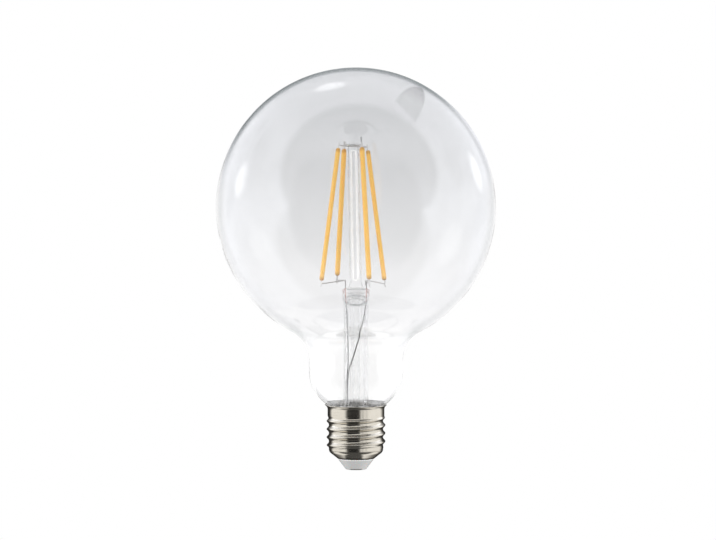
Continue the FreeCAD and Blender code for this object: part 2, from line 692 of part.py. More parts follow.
def shell_wire():
    """Wire from the board out to a hollow of the shell's thread."""
    turns = (INSULATOR_TOP + 1.5 * THREAD_PITCH - THREAD_CREST_HEIGHT) / THREAD_PITCH - SHELL_WIRE_AZIMUTH / 360
    hollow = THREAD_CREST_HEIGHT + (round(turns) + 0.5 + SHELL_WIRE_AZIMUTH / 360) * THREAD_PITCH
    wall = thread_radius(SHELL_WIRE_AZIMUTH, hollow, SHELL_SHEET)
    route = [
        polar(PAD_SHELL_RADIUS, SHELL_WIRE_AZIMUTH, INSULATOR_TOP + BOARD_THICKNESS),
        polar(PAD_SHELL_RADIUS, SHELL_WIRE_AZIMUTH, hollow),
        polar(wall, SHELL_WIRE_AZIMUTH, hollow),
    ]
    return bent_rod(route, SHELL_WIRE_DIAMETER)


def lamp_parts():
    """Every piece of the lamp by name."""
    parts = {}
    tops = []
    feet = []
    for index in range(len(FILAMENT_QUARTERS)):
        coat, upper, lower = filament_pieces(index)
        parts["filament_%d" % (index + 1)] = coat
        parts["filament_tab_top_%d" % (index + 1)] = upper
        parts["filament_tab_foot_%d" % (index + 1)] = lower
        tops.append(upper)
        feet.append(lower)
    left = lead_wire(-1, LEAD_SWAY_LEFT, PAD_LEFT, 0, feet[0])
    right = lead_wire(1, LEAD_SWAY_RIGHT, PAD_RIGHT, 3, feet[3])
    low_support = support_wire(FILAMENT_CROWN + SUPPORT_RISES[0], 0, 3, [tops[0], tops[3]], False)
    high_support = support_wire(FILAMENT_CROWN + SUPPORT_RISES[1], 1, 2, [tops[1], tops[2]], True)
    parts["lead_wire_left"] = left
    parts["lead_wire_right"] = right
    parts["lead_branch_left"] = lead_branch(-1, Vector(0, 1, 0), 1, feet[1])
    parts["lead_branch_right"] = lead_branch(1, Vector(-0.8, -0.6, 0), 2, feet[2])
    parts["support_wire_a"] = low_support
    parts["support_wire_b"] = high_support
    parts["glass_globe"] = glass_globe()
    parts["flare_stem"] = flare_stem([left, right])
    parts["exhaust_tube"] = exhaust_tube()
    parts["stem_post"] = stem_post([low_support, high_support])
    parts["cap_shell"] = cap_shell()
    parts["cap_cement"] = cap_cement()
    parts["insulator"] = insulator()
    parts["centre_contact"] = centre_contact()
    parts["driver_board"] = driver_board()
    parts["bridge_rectifier"] = package(BRIDGE_SIZE, BRIDGE_PLACE, 2)
    parts["driver_chip"] = package(CHIP_SIZE, CHIP_PLACE, CHIP_PINS)
    for number, place in enumerate(CHIP_RESISTOR_PLACES, 1):
        parts["chip_resistor_%d" % number] = block(CHIP_RESISTOR_SIZE, place, INSULATOR_TOP)
    parts["smoothing_capacitor"] = smoothing_capacitor()
    parts["fusible_resistor"] = fusible_resistor()
    parts["shell_wire"] = shell_wire()
    return parts


def main():
    os.makedirs("parts", exist_ok=True)
    for name, shape in lamp_parts().items():
        if shape.ShapeType != "Solid" and len(shape.Solids) == 1:
            shape = shape.Solids[0]
        print(name, shape.ShapeType, shape.isValid(), round(shape.Volume, 3))
        shape.exportStep("parts/%s.step" % name)


main()
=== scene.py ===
"""Looks of the clear globe lamp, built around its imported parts.

Sizes whose names end in MM are in millimetres, the rest in metres. The camera looks along +Y.
"""

from math import acos, asin, atan2, copysign, cos, degrees, hypot, pi, radians, sin, sqrt, tan
import bpy
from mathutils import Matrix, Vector, noise


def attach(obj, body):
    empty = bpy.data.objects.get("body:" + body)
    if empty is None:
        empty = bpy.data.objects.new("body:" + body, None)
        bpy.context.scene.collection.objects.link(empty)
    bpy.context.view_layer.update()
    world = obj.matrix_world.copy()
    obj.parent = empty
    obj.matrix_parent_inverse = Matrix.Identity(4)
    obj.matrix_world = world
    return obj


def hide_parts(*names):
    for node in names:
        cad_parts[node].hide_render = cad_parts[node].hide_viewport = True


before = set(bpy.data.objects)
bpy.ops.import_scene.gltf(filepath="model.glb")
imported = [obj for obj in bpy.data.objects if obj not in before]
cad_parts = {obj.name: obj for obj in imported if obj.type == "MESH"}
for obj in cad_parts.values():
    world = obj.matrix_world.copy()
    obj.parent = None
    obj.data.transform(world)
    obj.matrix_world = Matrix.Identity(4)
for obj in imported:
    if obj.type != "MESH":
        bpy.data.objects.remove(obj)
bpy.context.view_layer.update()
MM = 0.001
TINY = 1e-6

# Blown glass, as in the part's source
LENGTH_MM = 180.0
GLOBE_MM = 62.5
WALL_MM = 0.7
NECK_MM = 21.0
NECK_FILLET_MM = 14.5
SHOULDER_MM = 17.0
SHOULDER_TOP_MM = 43.8
SHOULDER_CENTRE_MM = (NECK_MM - SHOULDER_MM, SHOULDER_TOP_MM)
THROAT_MM = 11.0
THROAT_FILLET_MM = 3.0
THROAT_END_MM = 20.0
BLOWN_WAVE_MM = 0.07
BLOWN_WAVE_LENGTH_MM = 26.0
BLOWN_START_MM = 36.0
BLOWN_RAMP_MM = 30.0
BLOWN_ROUND_MM = 80.0
GLASS_SEGMENTS = 192
GLOBE_STEPS = 88
NECK_STEPS = 22
THROAT_STEPS = 10

# Rolled shell of the cap
MAJOR_MM = 13.15
MINOR_MM = 12.13
PITCH_MM = 3.629
THREAD_BOTTOM_MM = 9.4
THREAD_TOP_MM = 24.642
CREST_MM = 20.17
FADE_MM = 1.996
CREST_SHARPNESS = 0.3
SHEET_MM = 0.3
COLLAR_MM = 12.7
COLLAR_TOP_MM = 26.8
RIM_MM = 13.7
RIM_TOP_MM = 29.0
RIM_FLARE_MM = 1.8
END_MM = 8.2
END_HEIGHT_MM = 5.2
END_CONE = 38.0
THREAD_ROWS = 120
CAP_SEGMENTS = 180

# Stem glass
TUBE_MM = 5.5
TUBE_WALL_MM = 0.9
FLARE_START_MM = 34.5
RIM_INNER_MM = 10.25
PRESS_BOTTOM_MM = 74.3
PRESS_TOP_MM = 81.3
PRESS_MM = 6.1
PRESS_WAIST_HEIGHT_MM = 77.5
PRESS_WAIST_MM = 5.4
PRESS_TOP_DEPTH_MM = 3.4
PRESS_SQUARENESS = 3.4
CAVITY_MM = 4.0
CAVITY_WALL_MM = 2.8
CAVITY_TAPER_MM = 0.25
EXHAUST_MM = 1.9
EXHAUST_BORE_MM = 1.2
EXHAUST_TIP_MM = 14.8
EXHAUST_NOSE_MM = 2.6
BLOW_HOLE_RISE_MM = 0.9
BEAD_WIDTH_MM = 3.75
BEAD_DEPTH_MM = 2.8
BEAD_HEIGHT_MM = 3.4
BEAD_SHARES = ((0.0, 0.0), (0.10, 0.22), (0.30, 0.45), (0.55, 0.70), (0.80, 0.90), (1.0, 1.0))
POST_MM = 2.75
POST_BORE_MM = 1.15
POST_TOP_MM = 146.0
POST_CAP_MM = 2.9
POST_CROWN_MM = 1.3
POST_FOOT_X_MM = -0.1
POST_TOP_X_MM = -1.25
STEM_SEGMENTS = 96
PRESS_STEPS = 16

# Filaments
FILAMENT_LENGTH_MM = 58.0
FILAMENT_WIDTH_MM = 2.2
FILAMENT_THICKNESS_MM = 1.9
FILAMENT_TOP_MM = 7.77
FILAMENT_FOOT_MM = 15.7
FILAMENT_TOP_AZIMUTH = 31.0
FILAMENT_FOOT_AZIMUTH = 27.0
FILAMENT_RING_X_MM = -1.3
FILAMENT_MIDS_MM = (114.6, 114.8, 115.0, 113.6)
FILAMENT_CAP_MM = 1.0
COAT_OVER_TOP_MM = (1.0, 0.0, 1.1, 0.7)
COAT_OVER_FOOT_MM = (0.6, 0.0, 0.0, 0.4)
FILAMENT_QUARTERS = (180.0, 90.0, -90.0, 0.0)
FILAMENT_SWELL = 0.05
FILAMENT_WAVE_MM = 2.3
FILAMENT_ROUNDNESS = 0.8
FILAMENT_SEGMENTS = 28
FILAMENT_ROWS = 76

# Insulator, contact and cement
INSULATOR_BOTTOM_MM = 0.3
INSULATOR_TIP_MM = 4.9
INSULATOR_TIP_HEIGHT_MM = 0.75
INSULATOR_SHOULDER_MM = 0.45
SLEEVE_MM = 11.6
SLEEVE_WALL_MM = 1.3
INSULATOR_TOP_MM = 10.4
INSULATOR_FLOOR_MM = 3.2
CUP_MM = 4.4
CUP_STEP_MM = 9.0
CONTACT_MM = 1.95
CONTACT_FLAT_MM = 1.3
CONTACT_HEAD_MM = 0.9
CONTACT_EDGE_MM = 0.35
CONTACT_STEM_MM = 1.0
CONTACT_FLANGE_MM = 1.6
CONTACT_FLANGE_HEIGHT_MM = 0.4
CEMENT_BOTTOM_MM = 20.5
CEMENT_LUMP_MM = 0.7
CEMENT_WAVES = ((0.7, 1.0), (2.1, 0.6), (4.5, 0.3))

# Camera and stage
CAMERA_PLACE = (0.0009, -2.43, 0.241)
CAMERA_TARGET = (0.0009, 0.0, 0.0896)
SENSOR_MM = 36.0
FOCAL_MM = 274.2
LAMPS = (("key", (-1.1, -0.9, 1.2), 26.0), ("fill", (1.3, -0.7, 0.8), 14.0), ("back", (0.3, 1.2, 1.4), 12.0))
LAMP_SIZE = 0.9
LAMP_TARGET = (0.0, 0.0, 0.09)
GLOWS = (
    ((-0.887, 0.421, 0.193), 1, 10, 1.3),
    ((0.773, 0.602, 0.198), 1, 9, 1.2),
    ((-0.177, 0.590, 0.788), 1, 8, 1.2),
    ((0.928, 0.010, -0.370), 3, 16, 0.6),
    ((-0.928, 0.030, -0.372), 3, 16, 0.5),
)
CARD_RADIUS_MM = 46.0
CARD_BOTTOM_MM = -14.0
CARD_TOP_MM = 62.0
CARD_BACK_TOP_MM = 26.5
CARD_BACK_MM = 21.0
CARD_SIDES = 72
LOW_CARD_RADIUS_MM = 80.0
LOW_CARD_HEIGHT_MM = -9.0
LOW_CARD_BACK_MM = 40.0
LOW_CARD_SIDES = 48
CARD_GAP = (-41.5, -31, 13, 19)
CARD_GAP_RISE = (0.028, 0.036)
CARD_GAP_LIFT = 0.85
CARD_SHADES = (((21, 23, 26, 28), 0.62), ((32, 34, 41, 43), 0.25), ((-99, -114), 0.85), ((112, 126), 0.85))
CARD_LOW_RISE = (0.004, -0.010)
CARD_LOW_SHADE = 0.70
LOW_CARD_MIDDLE = (-0.0115, -0.0090, 0.0050, 0.0075)
LOW_CARD_FAR = (0.010, 0.026)
LOW_CARD_NEAR = (-0.009, -0.015)

# Studio that the glass mirrors. Turns and tilts are in degrees, the rest are shares of a direction.
WALL_RISE = (-0.55, 0.15)
WALL_TOP = (1.0, 0.55)
WALL_TURN = (158, 144)
SKIRTING_RISE = (-0.55, 0.0)
GROUND_RISE = (-0.45, -0.80)
LOW_EDGE_TURN = (128, 152)
LOW_EDGE_UP = (0.25, -0.05)
TOP_EDGE_TURN = (150, 160)
TOP_EDGE_TILT = 102
TOP_EDGE_LEAN = (0.25, 0.65)
LEAF_SIDES = (
    ((-0.945, 0.103, 0.309), (0.01, -0.01)),
    ((0.817, 0.028, -0.576), (0.006, -0.006)),
    ((-0.580, -0.668, 0.466), (0.03, -0.05)),
)
ROOM_REACH = 56
ROOM_BULGE = 41
ROOM_SAG = 4
ROOM_BLUR = 5
ROOM_POWER = 1.05
ROOM_POWER_FALL = 0.4

# Counts of a ray's bounces: none or some, and those that left by the wall it came in by
ANY_BOUNCE = (0.4, 0.6)
FRONT_WALL_DEPTH = (3.4, 2.6)

# Zones of the looks: where each starts, is full and, with four marks, fades and ends. RISE is the height,
# ACROSS the breadth from the middle, and FACING runs from 0, seen square on, to 1, seen edge on.
# Painted shade in the globe's glass: grey deepening towards its top, and a greyer band low on it
GLOBE_TOP_SHADE_RISE = (0.053, 0.160)
GLOBE_TOP_SHADE = (0.792, 0.797, 0.808, 1)
BOWL_RISE = (0.055, 0.070, 0.082, 0.105)
BOWL_SHARE = 0.9
BOWL = (0.935, 0.935, 0.94, 1)
PATCH_SHARE = 0.03
# Painted dark reflection on the glass where it is seen near edge on: heights, facing, share and colour
EDGE_PAINTED_SHADES = (
    ((0.075, 0.105), (0.86, 0.99), 0.2, (0.30, 0.31, 0.33, 1)),
    ((0.075, 0.105), (0.70, 0.80, 0.84, 0.92), 0.2, (0.30, 0.31, 0.34, 1)),
    ((0.0565, 0.0605, 0.0625, 0.0665), (0.66, 0.88), 0.55, (0.22, 0.27, 0.27, 1)),
)
BLOWN_INDEX = 1.5
STEM_INDEX = 1.52
STEM_GREEN = (0.985, 0.993, 0.988, 1)
# Painted shade in the stem glass: a dark line across the top of the press and dark arches low on its front
BROW_RISE = (0.0807, 0.0810, 0.0813, 0.0816)
BROW_ACROSS = (0.0052, 0.0040)
BROW_SHARE = 0.55
BROW_PAINTED_SHADE = (0.10, 0.11, 0.11, 1)
ARCHES = ((0.0764, 0.0050, 0.0023), (0.0757, 0.0036, 0.0014))
ARCH_LINE = (0.62, 0.86, 1.12, 1.34)
ARCH_FRONT = (0.0005, -0.0005)
ARCH_SHARE = 0.7
ARCH_DENSITY = 0.35
ARCH_PAINTED_SHADE = (0.16, 0.18, 0.17, 1)
PRESS_RISE = (0.0730, 0.0742, 0.0830, 0.0845)
PRESS_THINNED = 0.6
POST_RISE = (0.0830, 0.0845)
POST_THINNED = 0.65
TUBE_RISE = (0.0742, 0.0730)
TUBE_THINNED = 0.72
# Painted highlight: two white lines down the post's bore, which give a little light of their own
BORE_FACING = (0.26, 0.40, 0.62, 0.78)
BORE_SHARE = 0.8
BORE_LIGHT = 0.55
BORE_HIGHLIGHT = (0.96, 0.95, 0.91, 1)
# Painted shade on the shell: dark at the edge of its end, and along its outline where it is seen near edge on
SHELL_END_SHADE_RISE = (0.0062, 0.0056)
SHELL_OUTLINE_SHADE_FACING = (0.46, 0.66)
SHELL_OUTLINE_SHADE_SHARE = 0.68
COPPER_RISE = (0.0752, 0.0758, 0.0812, 0.0818)
LOW_LEAD_DARK_RISE = (0.0760, 0.0735)
# Painted highlight: the insulator's shoulder is paler above this height
SHOULDER_HIGHLIGHT_RISE = (0.0046, 0.0049)
# The insulator's tip is darker beside the contact
TIP_DARK_ACROSS = (0.0031, 0.0021)
TIP_DARK_RISE = (0.0010, 0.0006)
COAT_ENDS = (0.450, 0.480)

# Finishes of one noise: name, grain, detail, unevenness, colours, roughness (least, span), metal, relief
PLAIN_FINISHES = (
    # Bright silver plate, brushed along the tabs
    ("tab_silver", (2500.0, 2500.0, 250.0), 3.0, 0.5, ((0.74, 0.735, 0.73, 1), (0.90, 0.895, 0.885, 1)),
     (0.35, 0.15), 0.25, (0.00001, 0.6)),
    # Plated rivet, scuffed across its face, its colours kept dark as painted shade
    ("contact_metal", (900.0, 5000.0, 900.0), 4.0, 0.7, ((0.10, 0.095, 0.09, 1), (0.24, 0.225, 0.205, 1)),
     (0.35, 0.25), 0.6, (0.00002, 0.6)),
    # Black moulding compound with a fine grain
    ("chip_black", (6000.0, 6000.0, 6000.0), 2.0, 0.5, ((0.018, 0.018, 0.02, 1), (0.05, 0.05, 0.052, 1)),
     (0.55, 0.0), 0.0, (0.00001, 0.7)),
    # Drawn aluminium, brushed round
    ("capacitor_can", (150.0, 150.0, 4000.0), 3.0, 0.5, ((0.70, 0.71, 0.73, 1), (0.86, 0.87, 0.88, 1)),
     (0.22, 0.15), 1.0, (0.00001, 0.5)),
    # Blue-grey flameproof coat, slightly uneven
    ("resistor_coat", (1200.0, 1200.0, 1200.0), 3.0, 0.5, ((0.10, 0.17, 0.24, 1), (0.17, 0.26, 0.34, 1)),
     (0.5, 0.0), 0.0, (0.00005, 0.6)),
)


def arc(centre, radius, start, end, steps):
    """Points (radius, height) along an arc about a centre, from one angle to another in degrees."""
    points = []
    for step in range(steps + 1):
        angle = radians(start + (end - start) * step / steps)
        points.append((centre[0] + radius * cos(angle), centre[1] + radius * sin(angle)))
    return points


def run(start, end, steps):
    """Points along a straight line, both ends included."""
    return [
        (start[0] + (end[0] - start[0]) * i / steps, start[1] + (end[1] - start[1]) * i / steps)
        for i in range(steps + 1)
    ]


def filleted(points, radii, steps=4):
    """An outline through corner points, each corner rounded by its radius (0 keeps it sharp)."""
    result = []
    count = len(points)
    for index, (point, radius) in enumerate(zip(points, radii)):
        if radius == 0 or index in (0, count - 1):
            result.append(point)
            continue
        corner = Vector(point)
        back = (Vector(points[index - 1]) - corner).normalized()
        onward = (Vector(points[index + 1]) - corner).normalized()
        half = back.angle(onward) / 2
        reach = radius / tan(half)
        centre = corner + (back + onward).normalized() * (radius / sin(half))
        first = corner + back * reach - centre
        last = corner + onward * reach - centre
        for step in range(steps + 1):
            spoke = first.lerp(last, step / steps).normalized() * radius
            result.append(tuple(centre + spoke))
    return result


def eased(value, low, high):
    """0 at low, 1 at high, and a smooth step between."""
    share = min(max((value - low) / (high - low), 0), 1)
    return 3 * share ** 2 - 2 * share ** 3


def ring(radius, height, segments, x=0.0, depth=None, squareness=2.0):
    """One ring of points about the axis, in millimetres: a circle, an ellipse, or squarer than an ellipse."""
    if radius < TINY:
        return [Vector((x, 0, height))]
    depth = radius if depth is None else depth
    points = []
    for i in range(segments):
        c = cos(2 * pi * i / segments)
        s = sin(2 * pi * i / segments)
        across = copysign(abs(c) ** (2 / squareness), c)
        back = copysign(abs(s) ** (2 / squareness), s)
        points.append(Vector((x + radius * across, depth * back, height)))
    return points


def lathe(profile, segments):
    """Rings of a turned form."""
    return [ring(radius, height, segments) for radius, height in profile]


def add_mesh(name, vertices, faces, look):
    """An object made from points in millimetres, in the scene, with one material."""
    mesh = bpy.data.meshes.new(name)
    mesh.from_pydata([p * MM for p in vertices], [], faces)
    mesh.materials.append(MATERIALS[look])
    made = bpy.data.objects.new(name, mesh)
    bpy.context.scene.collection.objects.link(made)
    return made


def skin(name, rings, body_slot, replaced=(), warp=None, loop=False):
    """A smooth mesh through rings of points, closed at a single point, riding on the lamp."""
    vertices = []
    starts = []
    lengths = [0.0]
    for before, after in zip(rings, rings[1:]):
        lengths.append(lengths[-1] + (after[0] - before[0]).length)
    for points in rings:
        starts.append(len(vertices))
        vertices += [warp(p) if warp else p for p in points]
    faces = []
    uvs = []
    for k in range(len(rings) if loop else len(rings) - 1):
        following = (k + 1) % len(rings)
        count = max(len(rings[k]), len(rings[following]))
        for i in range(count):
            face = []
            uv = []
            for row, place in ((k, i), (following, i), (following, i + 1), (k, i + 1)):
                index = starts[row] + (place % count if len(rings[row]) > 1 else 0)
                if index not in face:
                    face.append(index)
                    uv.append((place / count, lengths[row] / lengths[-1]))
            if len(face) > 2:
                faces.append(face)
                uvs += uv
    made = add_mesh(name, vertices, faces, body_slot)
    layer = made.data.uv_layers.new(name="UVMap")
    for corner, uv in zip(layer.data, uvs):
        corner.uv = uv
    made.data.shade_smooth()
    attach(made, "root")
    if replaced:
        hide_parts(*replaced)
    return made


class Tree:
    """Short calls that add nodes to one node tree and link them."""

    def __init__(self, tree):
        self.tree = tree
        tree.nodes.clear()

    def node(self, kind, inputs=None, **settings):
        """One node with its properties, and its inputs linked or set."""
        made = self.tree.nodes.new(kind)
        for key, value in settings.items():
            setattr(made, key, value)
        for key, value in (inputs or {}).items():
            if isinstance(value, bpy.types.NodeSocket):
                self.tree.links.new(value, made.inputs[key])
            else:
                made.inputs[key].default_value = value
        return made

    def math(self, operation, a, b=0.0):
        """Result of one Math node."""
        return self.node("ShaderNodeMath", operation=operation, inputs={0: a, 1: b}).outputs[0]

    def times(self, a, b):
        """Product of two values."""
        return self.math("MULTIPLY", a, b)

    def plus(self, a, b):
        """Sum of two values."""
        return self.math("ADD", a, b)

    def less(self, a, b):
        """The first value less the second."""
        return self.math("SUBTRACT", a, b)

    def larger(self, a, b):
        """The larger of two values."""
        return self.math("MAXIMUM", a, b)

    def steps(self, value, low, high):
        """0 below low and 1 above high, smooth between; the other way round where high is below low."""
        inputs = {"Value": value, "From Min": low, "From Max": high}
        if low > high:
            inputs = {"Value": value, "From Min": high, "From Max": low, "To Min": 1.0, "To Max": 0.0}
        return self.node("ShaderNodeMapRange", inputs, interpolation_type="SMOOTHSTEP").outputs["Result"]

    def zone(self, value, marks):
        """Smooth rise from 0 to 1 between two marks, and with four marks a fall back between the last two."""
        rise = self.steps(value, marks[0], marks[1])
        if len(marks) == 2:
            return rise
        return self.times(rise, self.steps(value, marks[3], marks[2]))

    def dot(self, vector, direction):
        """Share of a vector along a direction."""
        inputs = {0: vector, 1: direction}
        return self.node("ShaderNodeVectorMath", operation="DOT_PRODUCT", inputs=inputs).outputs["Value"]

    def mix(self, factor, a, b, blend="MIX"):
        """Colour between a and b."""
        inputs = {0: factor, 6: a, 7: b}
        return self.node("ShaderNodeMix", inputs, data_type="RGBA", blend_type=blend).outputs[2]

    def blend(self, factor, a, b):
        """Shader between a and b."""
        return self.node("ShaderNodeMixShader", inputs={0: factor, 1: a, 2: b}).outputs[0]

    def shade(self, value):
        """Neutral colour of a value."""
        return self.node("ShaderNodeCombineColor", inputs={0: value, 1: value, 2: value}).outputs[0]

    def noise(self, vector, scale, detail, roughness=0.5):
        """Value of a noise texture."""
        inputs = {"Vector": vector, "Scale": scale, "Detail": detail, "Roughness": roughness}
        return self.node("ShaderNodeTexNoise", inputs=inputs).outputs[0]

    def place(self):
        """Object coordinates, which are the lamp's own frame in metres."""
        return self.node("ShaderNodeTexCoord").outputs["Object"]

    def stretched(self, vector, factors):
        """A vector with each part multiplied."""
        inputs = {0: vector, 1: factors}
        return self.node("ShaderNodeVectorMath", operation="MULTIPLY", inputs=inputs).outputs["Vector"]

    def parts(self, vector):
        """X, Y and Z of a vector."""
        return self.node("ShaderNodeSeparateXYZ", inputs={0: vector}).outputs

    def facing(self):
        """0 where a surface is seen square on, 1 where it is seen edge on."""
        return self.node("ShaderNodeLayerWeight", inputs={"Blend": 0.5}).outputs["Facing"]

    def height(self):
        """Height in the lamp's frame, in metres."""
        return self.parts(self.place())[2]

    def bump(self, height, distance, strength):
        """Normal bent by a height, whose full range is distance."""
        inputs = {"Strength": strength, "Distance": distance, "Height": height}
        return self.node("ShaderNodeBump", inputs=inputs).outputs["Normal"]

    def shader(self, **inputs):
        """Principled shader; underscores in names stand for spaces."""
        named = {key.replace("_", " "): value for key, value in inputs.items()}
        return self.node("ShaderNodeBsdfPrincipled", inputs=named).outputs[0]

    def coat(self, relief, **inputs):
        """Ends the tree with a Principled shader bent by a relief (height, distance, strength)."""
        self.surface(self.shader(Normal=self.bump(*relief), **inputs))

    def surface(self, shader):
        """Ends the tree with this shader."""
        self.node("ShaderNodeOutputMaterial", inputs={"Surface": shader})


def material(name):
    """A new material and its tree."""
    made = bpy.data.materials.new(name)
    made.use_nodes = True
    MATERIALS[name] = made
    return Tree(made.node_tree)


def grey(value):
    """A neutral colour."""
    return (value, value, value, 1.0)


def passing_lamps(tree, glass):
    """Glass that lets the lamps' light through to what is behind it."""
    shadow = tree.node("ShaderNodeLightPath").outputs["Is Shadow Ray"]
    clear = tree.node("ShaderNodeBsdfTransparent").outputs[0]
    return tree.blend(shadow, glass, clear)


def make_clear_glass():
    """Blown soda glass: clear neck, painted shade that greys the globe towards its top and in a band low on
    it, and the small unevenness of blowing.
    """
    tree = material("clear_glass")
    height = tree.height()
    # Painted shade: the glass greys towards the top of the globe
    smoke = {"Value": height, "From Min": GLOBE_TOP_SHADE_RISE[0], "From Max": GLOBE_TOP_SHADE_RISE[1]}
    tint = tree.mix(tree.node("ShaderNodeMapRange", inputs=smoke).outputs[0], grey(1.0), GLOBE_TOP_SHADE)
    # Painted shade: a slightly greyer band low on the globe
    tint = tree.mix(tree.times(tree.zone(height, BOWL_RISE), BOWL_SHARE), tint, BOWL)
    tint = tree.mix(PATCH_SHARE, tint, tree.shade(tree.noise(tree.place(), 18.0, 1.0)))
    facing = tree.facing()
    # Painted dark reflection: the glass greys along its outline where it is seen near edge on
    for rise, turned, share, colour in EDGE_PAINTED_SHADES:
        mask = tree.times(tree.zone(facing, turned), tree.zone(height, rise))
        tint = tree.mix(tree.times(mask, share), tint, colour)
    ripple = tree.noise(tree.place(), 35.0, 2.0)
    glass = tree.shader(Base_Color=tint, Roughness=0.0, IOR=BLOWN_INDEX, Transmission_Weight=1.0,
                        Normal=tree.bump(ripple, 0.00012, 0.5))
    tree.surface(passing_lamps(tree, glass))


def make_stem_glass():
    """Drawn lead-free tube glass, a trace greener where it is thick, with the dark lines of its press painted
    in as shade.
    """
    tree = material("stem_glass")
    place = tree.place()
    x, y, height = tree.parts(place)
    across = tree.math("ABSOLUTE", x)
    streaks = tree.noise(tree.stretched(place, (500.0, 500.0, 20.0)), 1.0, 1.0)
    tint = tree.mix(streaks, STEM_GREEN, grey(1.0))
    # Painted shade: a dark line across the top of the press
    brow = tree.times(tree.zone(height, BROW_RISE), tree.zone(across, BROW_ACROSS))
    tint = tree.mix(tree.times(brow, BROW_SHARE), tint, BROW_PAINTED_SHADE)
    # Painted shade: dark arches on the front of the press
    arch = 0.0
    for middle, half_width, half_height in ARCHES:
        aside = tree.math("POWER", tree.math("DIVIDE", across, half_width), 2.0)
        above = tree.math("POWER", tree.math("DIVIDE", tree.less(height, middle), half_height), 2.0)
        arch = tree.larger(arch, tree.zone(tree.plus(aside, above), ARCH_LINE))
    arch = tree.times(arch, tree.zone(y, ARCH_FRONT))
    tint = tree.mix(tree.times(arch, ARCH_SHARE), tint, ARCH_PAINTED_SHADE)
    edges = tree.larger(brow, tree.times(arch, ARCH_DENSITY))
    thinned = tree.times(tree.times(tree.zone(height, PRESS_RISE), tree.less(1.0, edges)), PRESS_THINNED)
    thinned = tree.plus(thinned, tree.times(tree.zone(height, POST_RISE), POST_THINNED))
    thinned = tree.plus(thinned, tree.times(tree.zone(height, TUBE_RISE), TUBE_THINNED))
    glass = tree.shader(Base_Color=tint, Roughness=0.0, IOR=STEM_INDEX, Transmission_Weight=1.0,
                        Alpha=tree.less(1.0, thinned), Normal=tree.bump(streaks, 0.000004, 0.15))
    tree.surface(passing_lamps(tree, glass))


def make_bore():
    """Air bore of the post: its sides are painted as two white highlight lines, which give a little light of
    their own.
    """
    tree = material("bore_glass")
    # Painted highlight: the bore's sides turn white and glow where the bore is seen at a slant
    line = tree.zone(tree.facing(), BORE_FACING)
    streaks = tree.noise(tree.stretched(tree.place(), (900.0, 900.0, 60.0)), 1.0, 2.0)
    bright = tree.mix(streaks, BORE_HIGHLIGHT, grey(1.0))
    direct = tree.less(1.0, tree.zone(tree.node("ShaderNodeLightPath").outputs["Glossy Depth"], ANY_BOUNCE))
    clear = tree.shader(Base_Color=grey(1.0), Roughness=0.0, IOR=STEM_INDEX, Transmission_Weight=1.0,
                        Alpha=1.0 - POST_THINNED)
    white = tree.shader(Base_Color=bright, Roughness=0.6, Emission_Color=bright,
                        Emission_Strength=tree.times(direct, BORE_LIGHT))
    tree.surface(passing_lamps(tree, tree.blend(tree.times(line, BORE_SHARE), clear, white)))


def make_phosphor():
    """Amber silicone loaded with phosphor: granular, a little see-through, browner at the tabs."""
    tree = material("phosphor")
    along = tree.parts(tree.node("ShaderNodeUVMap").outputs[0])[1]
    ends = tree.zone(tree.math("ABSOLUTE", tree.less(along, 0.5)), COAT_ENDS)
    lumps = tree.noise(tree.place(), 700.0, 3.0)
    grains = tree.noise(tree.place(), 5200.0, 2.0)
    amber = tree.mix(lumps, (0.97, 0.55, 0.14, 1), (1.0, 0.63, 0.19, 1))
    amber = tree.mix(tree.steps(grains, 0.60, 0.72), amber, (1.0, 0.74, 0.30, 1))
    colour = tree.mix(ends, amber, (0.62, 0.36, 0.12, 1))
    relief = (tree.plus(lumps, tree.times(grains, 0.3)), 0.00006, 0.7)
    tree.coat(relief, Base_Color=colour, Roughness=0.42, Subsurface_Weight=0.35,
              Subsurface_Radius=(1.0, 0.5, 0.2), Subsurface_Scale=0.0006,
              Coat_Weight=0.25, Coat_Roughness=0.25)


def make_nickel():
    """Nickel plate over rolled brass: warm, with fine lines round the shell and faint stains, and painted
    shade at the end's edge and along the outline.
    """
    tree = material("nickel_plate")
    place = tree.place()
    lines = tree.noise(tree.stretched(place, (60.0, 60.0, 5200.0)), 1.0, 3.0, 0.6)
    stains = tree.noise(place, 260.0, 4.0, 0.6)
    pits = tree.noise(place, 2600.0, 2.0)
    colour = tree.mix(stains, (0.71, 0.67, 0.595, 1), (0.80, 0.77, 0.71, 1))
    # Painted shade: the plate darkens at the edge of the shell's end
    edge = tree.times(tree.zone(tree.height(), SHELL_END_SHADE_RISE), 0.85)
    colour = tree.mix(edge, colour, (0.10, 0.085, 0.07, 1))
    scored = tree.times(tree.steps(lines, 0.62, 0.75), 0.5)
    colour = tree.mix(scored, colour, (0.50, 0.45, 0.38, 1))
    colour = tree.mix(tree.steps(pits, 0.70, 0.80), colour, (0.52, 0.44, 0.34, 1))
    # Painted dark reflection: colour and specular tint darken along the outline, where the shell is seen near
    # edge on
    outline = tree.times(tree.zone(tree.facing(), SHELL_OUTLINE_SHADE_FACING), SHELL_OUTLINE_SHADE_SHARE)
    colour = tree.mix(outline, colour, (0.05, 0.045, 0.04, 1))
    sheen = tree.mix(outline, grey(1.0), (0.08, 0.075, 0.07, 1))
    rough = tree.plus(0.12, tree.times(tree.plus(lines, stains), 0.07))
    relief = (tree.plus(lines, tree.times(pits, 0.5)), 0.00002, 0.8)
    tree.coat(relief, Base_Color=colour, Metallic=1.0, Roughness=rough, Specular_Tint=sheen)


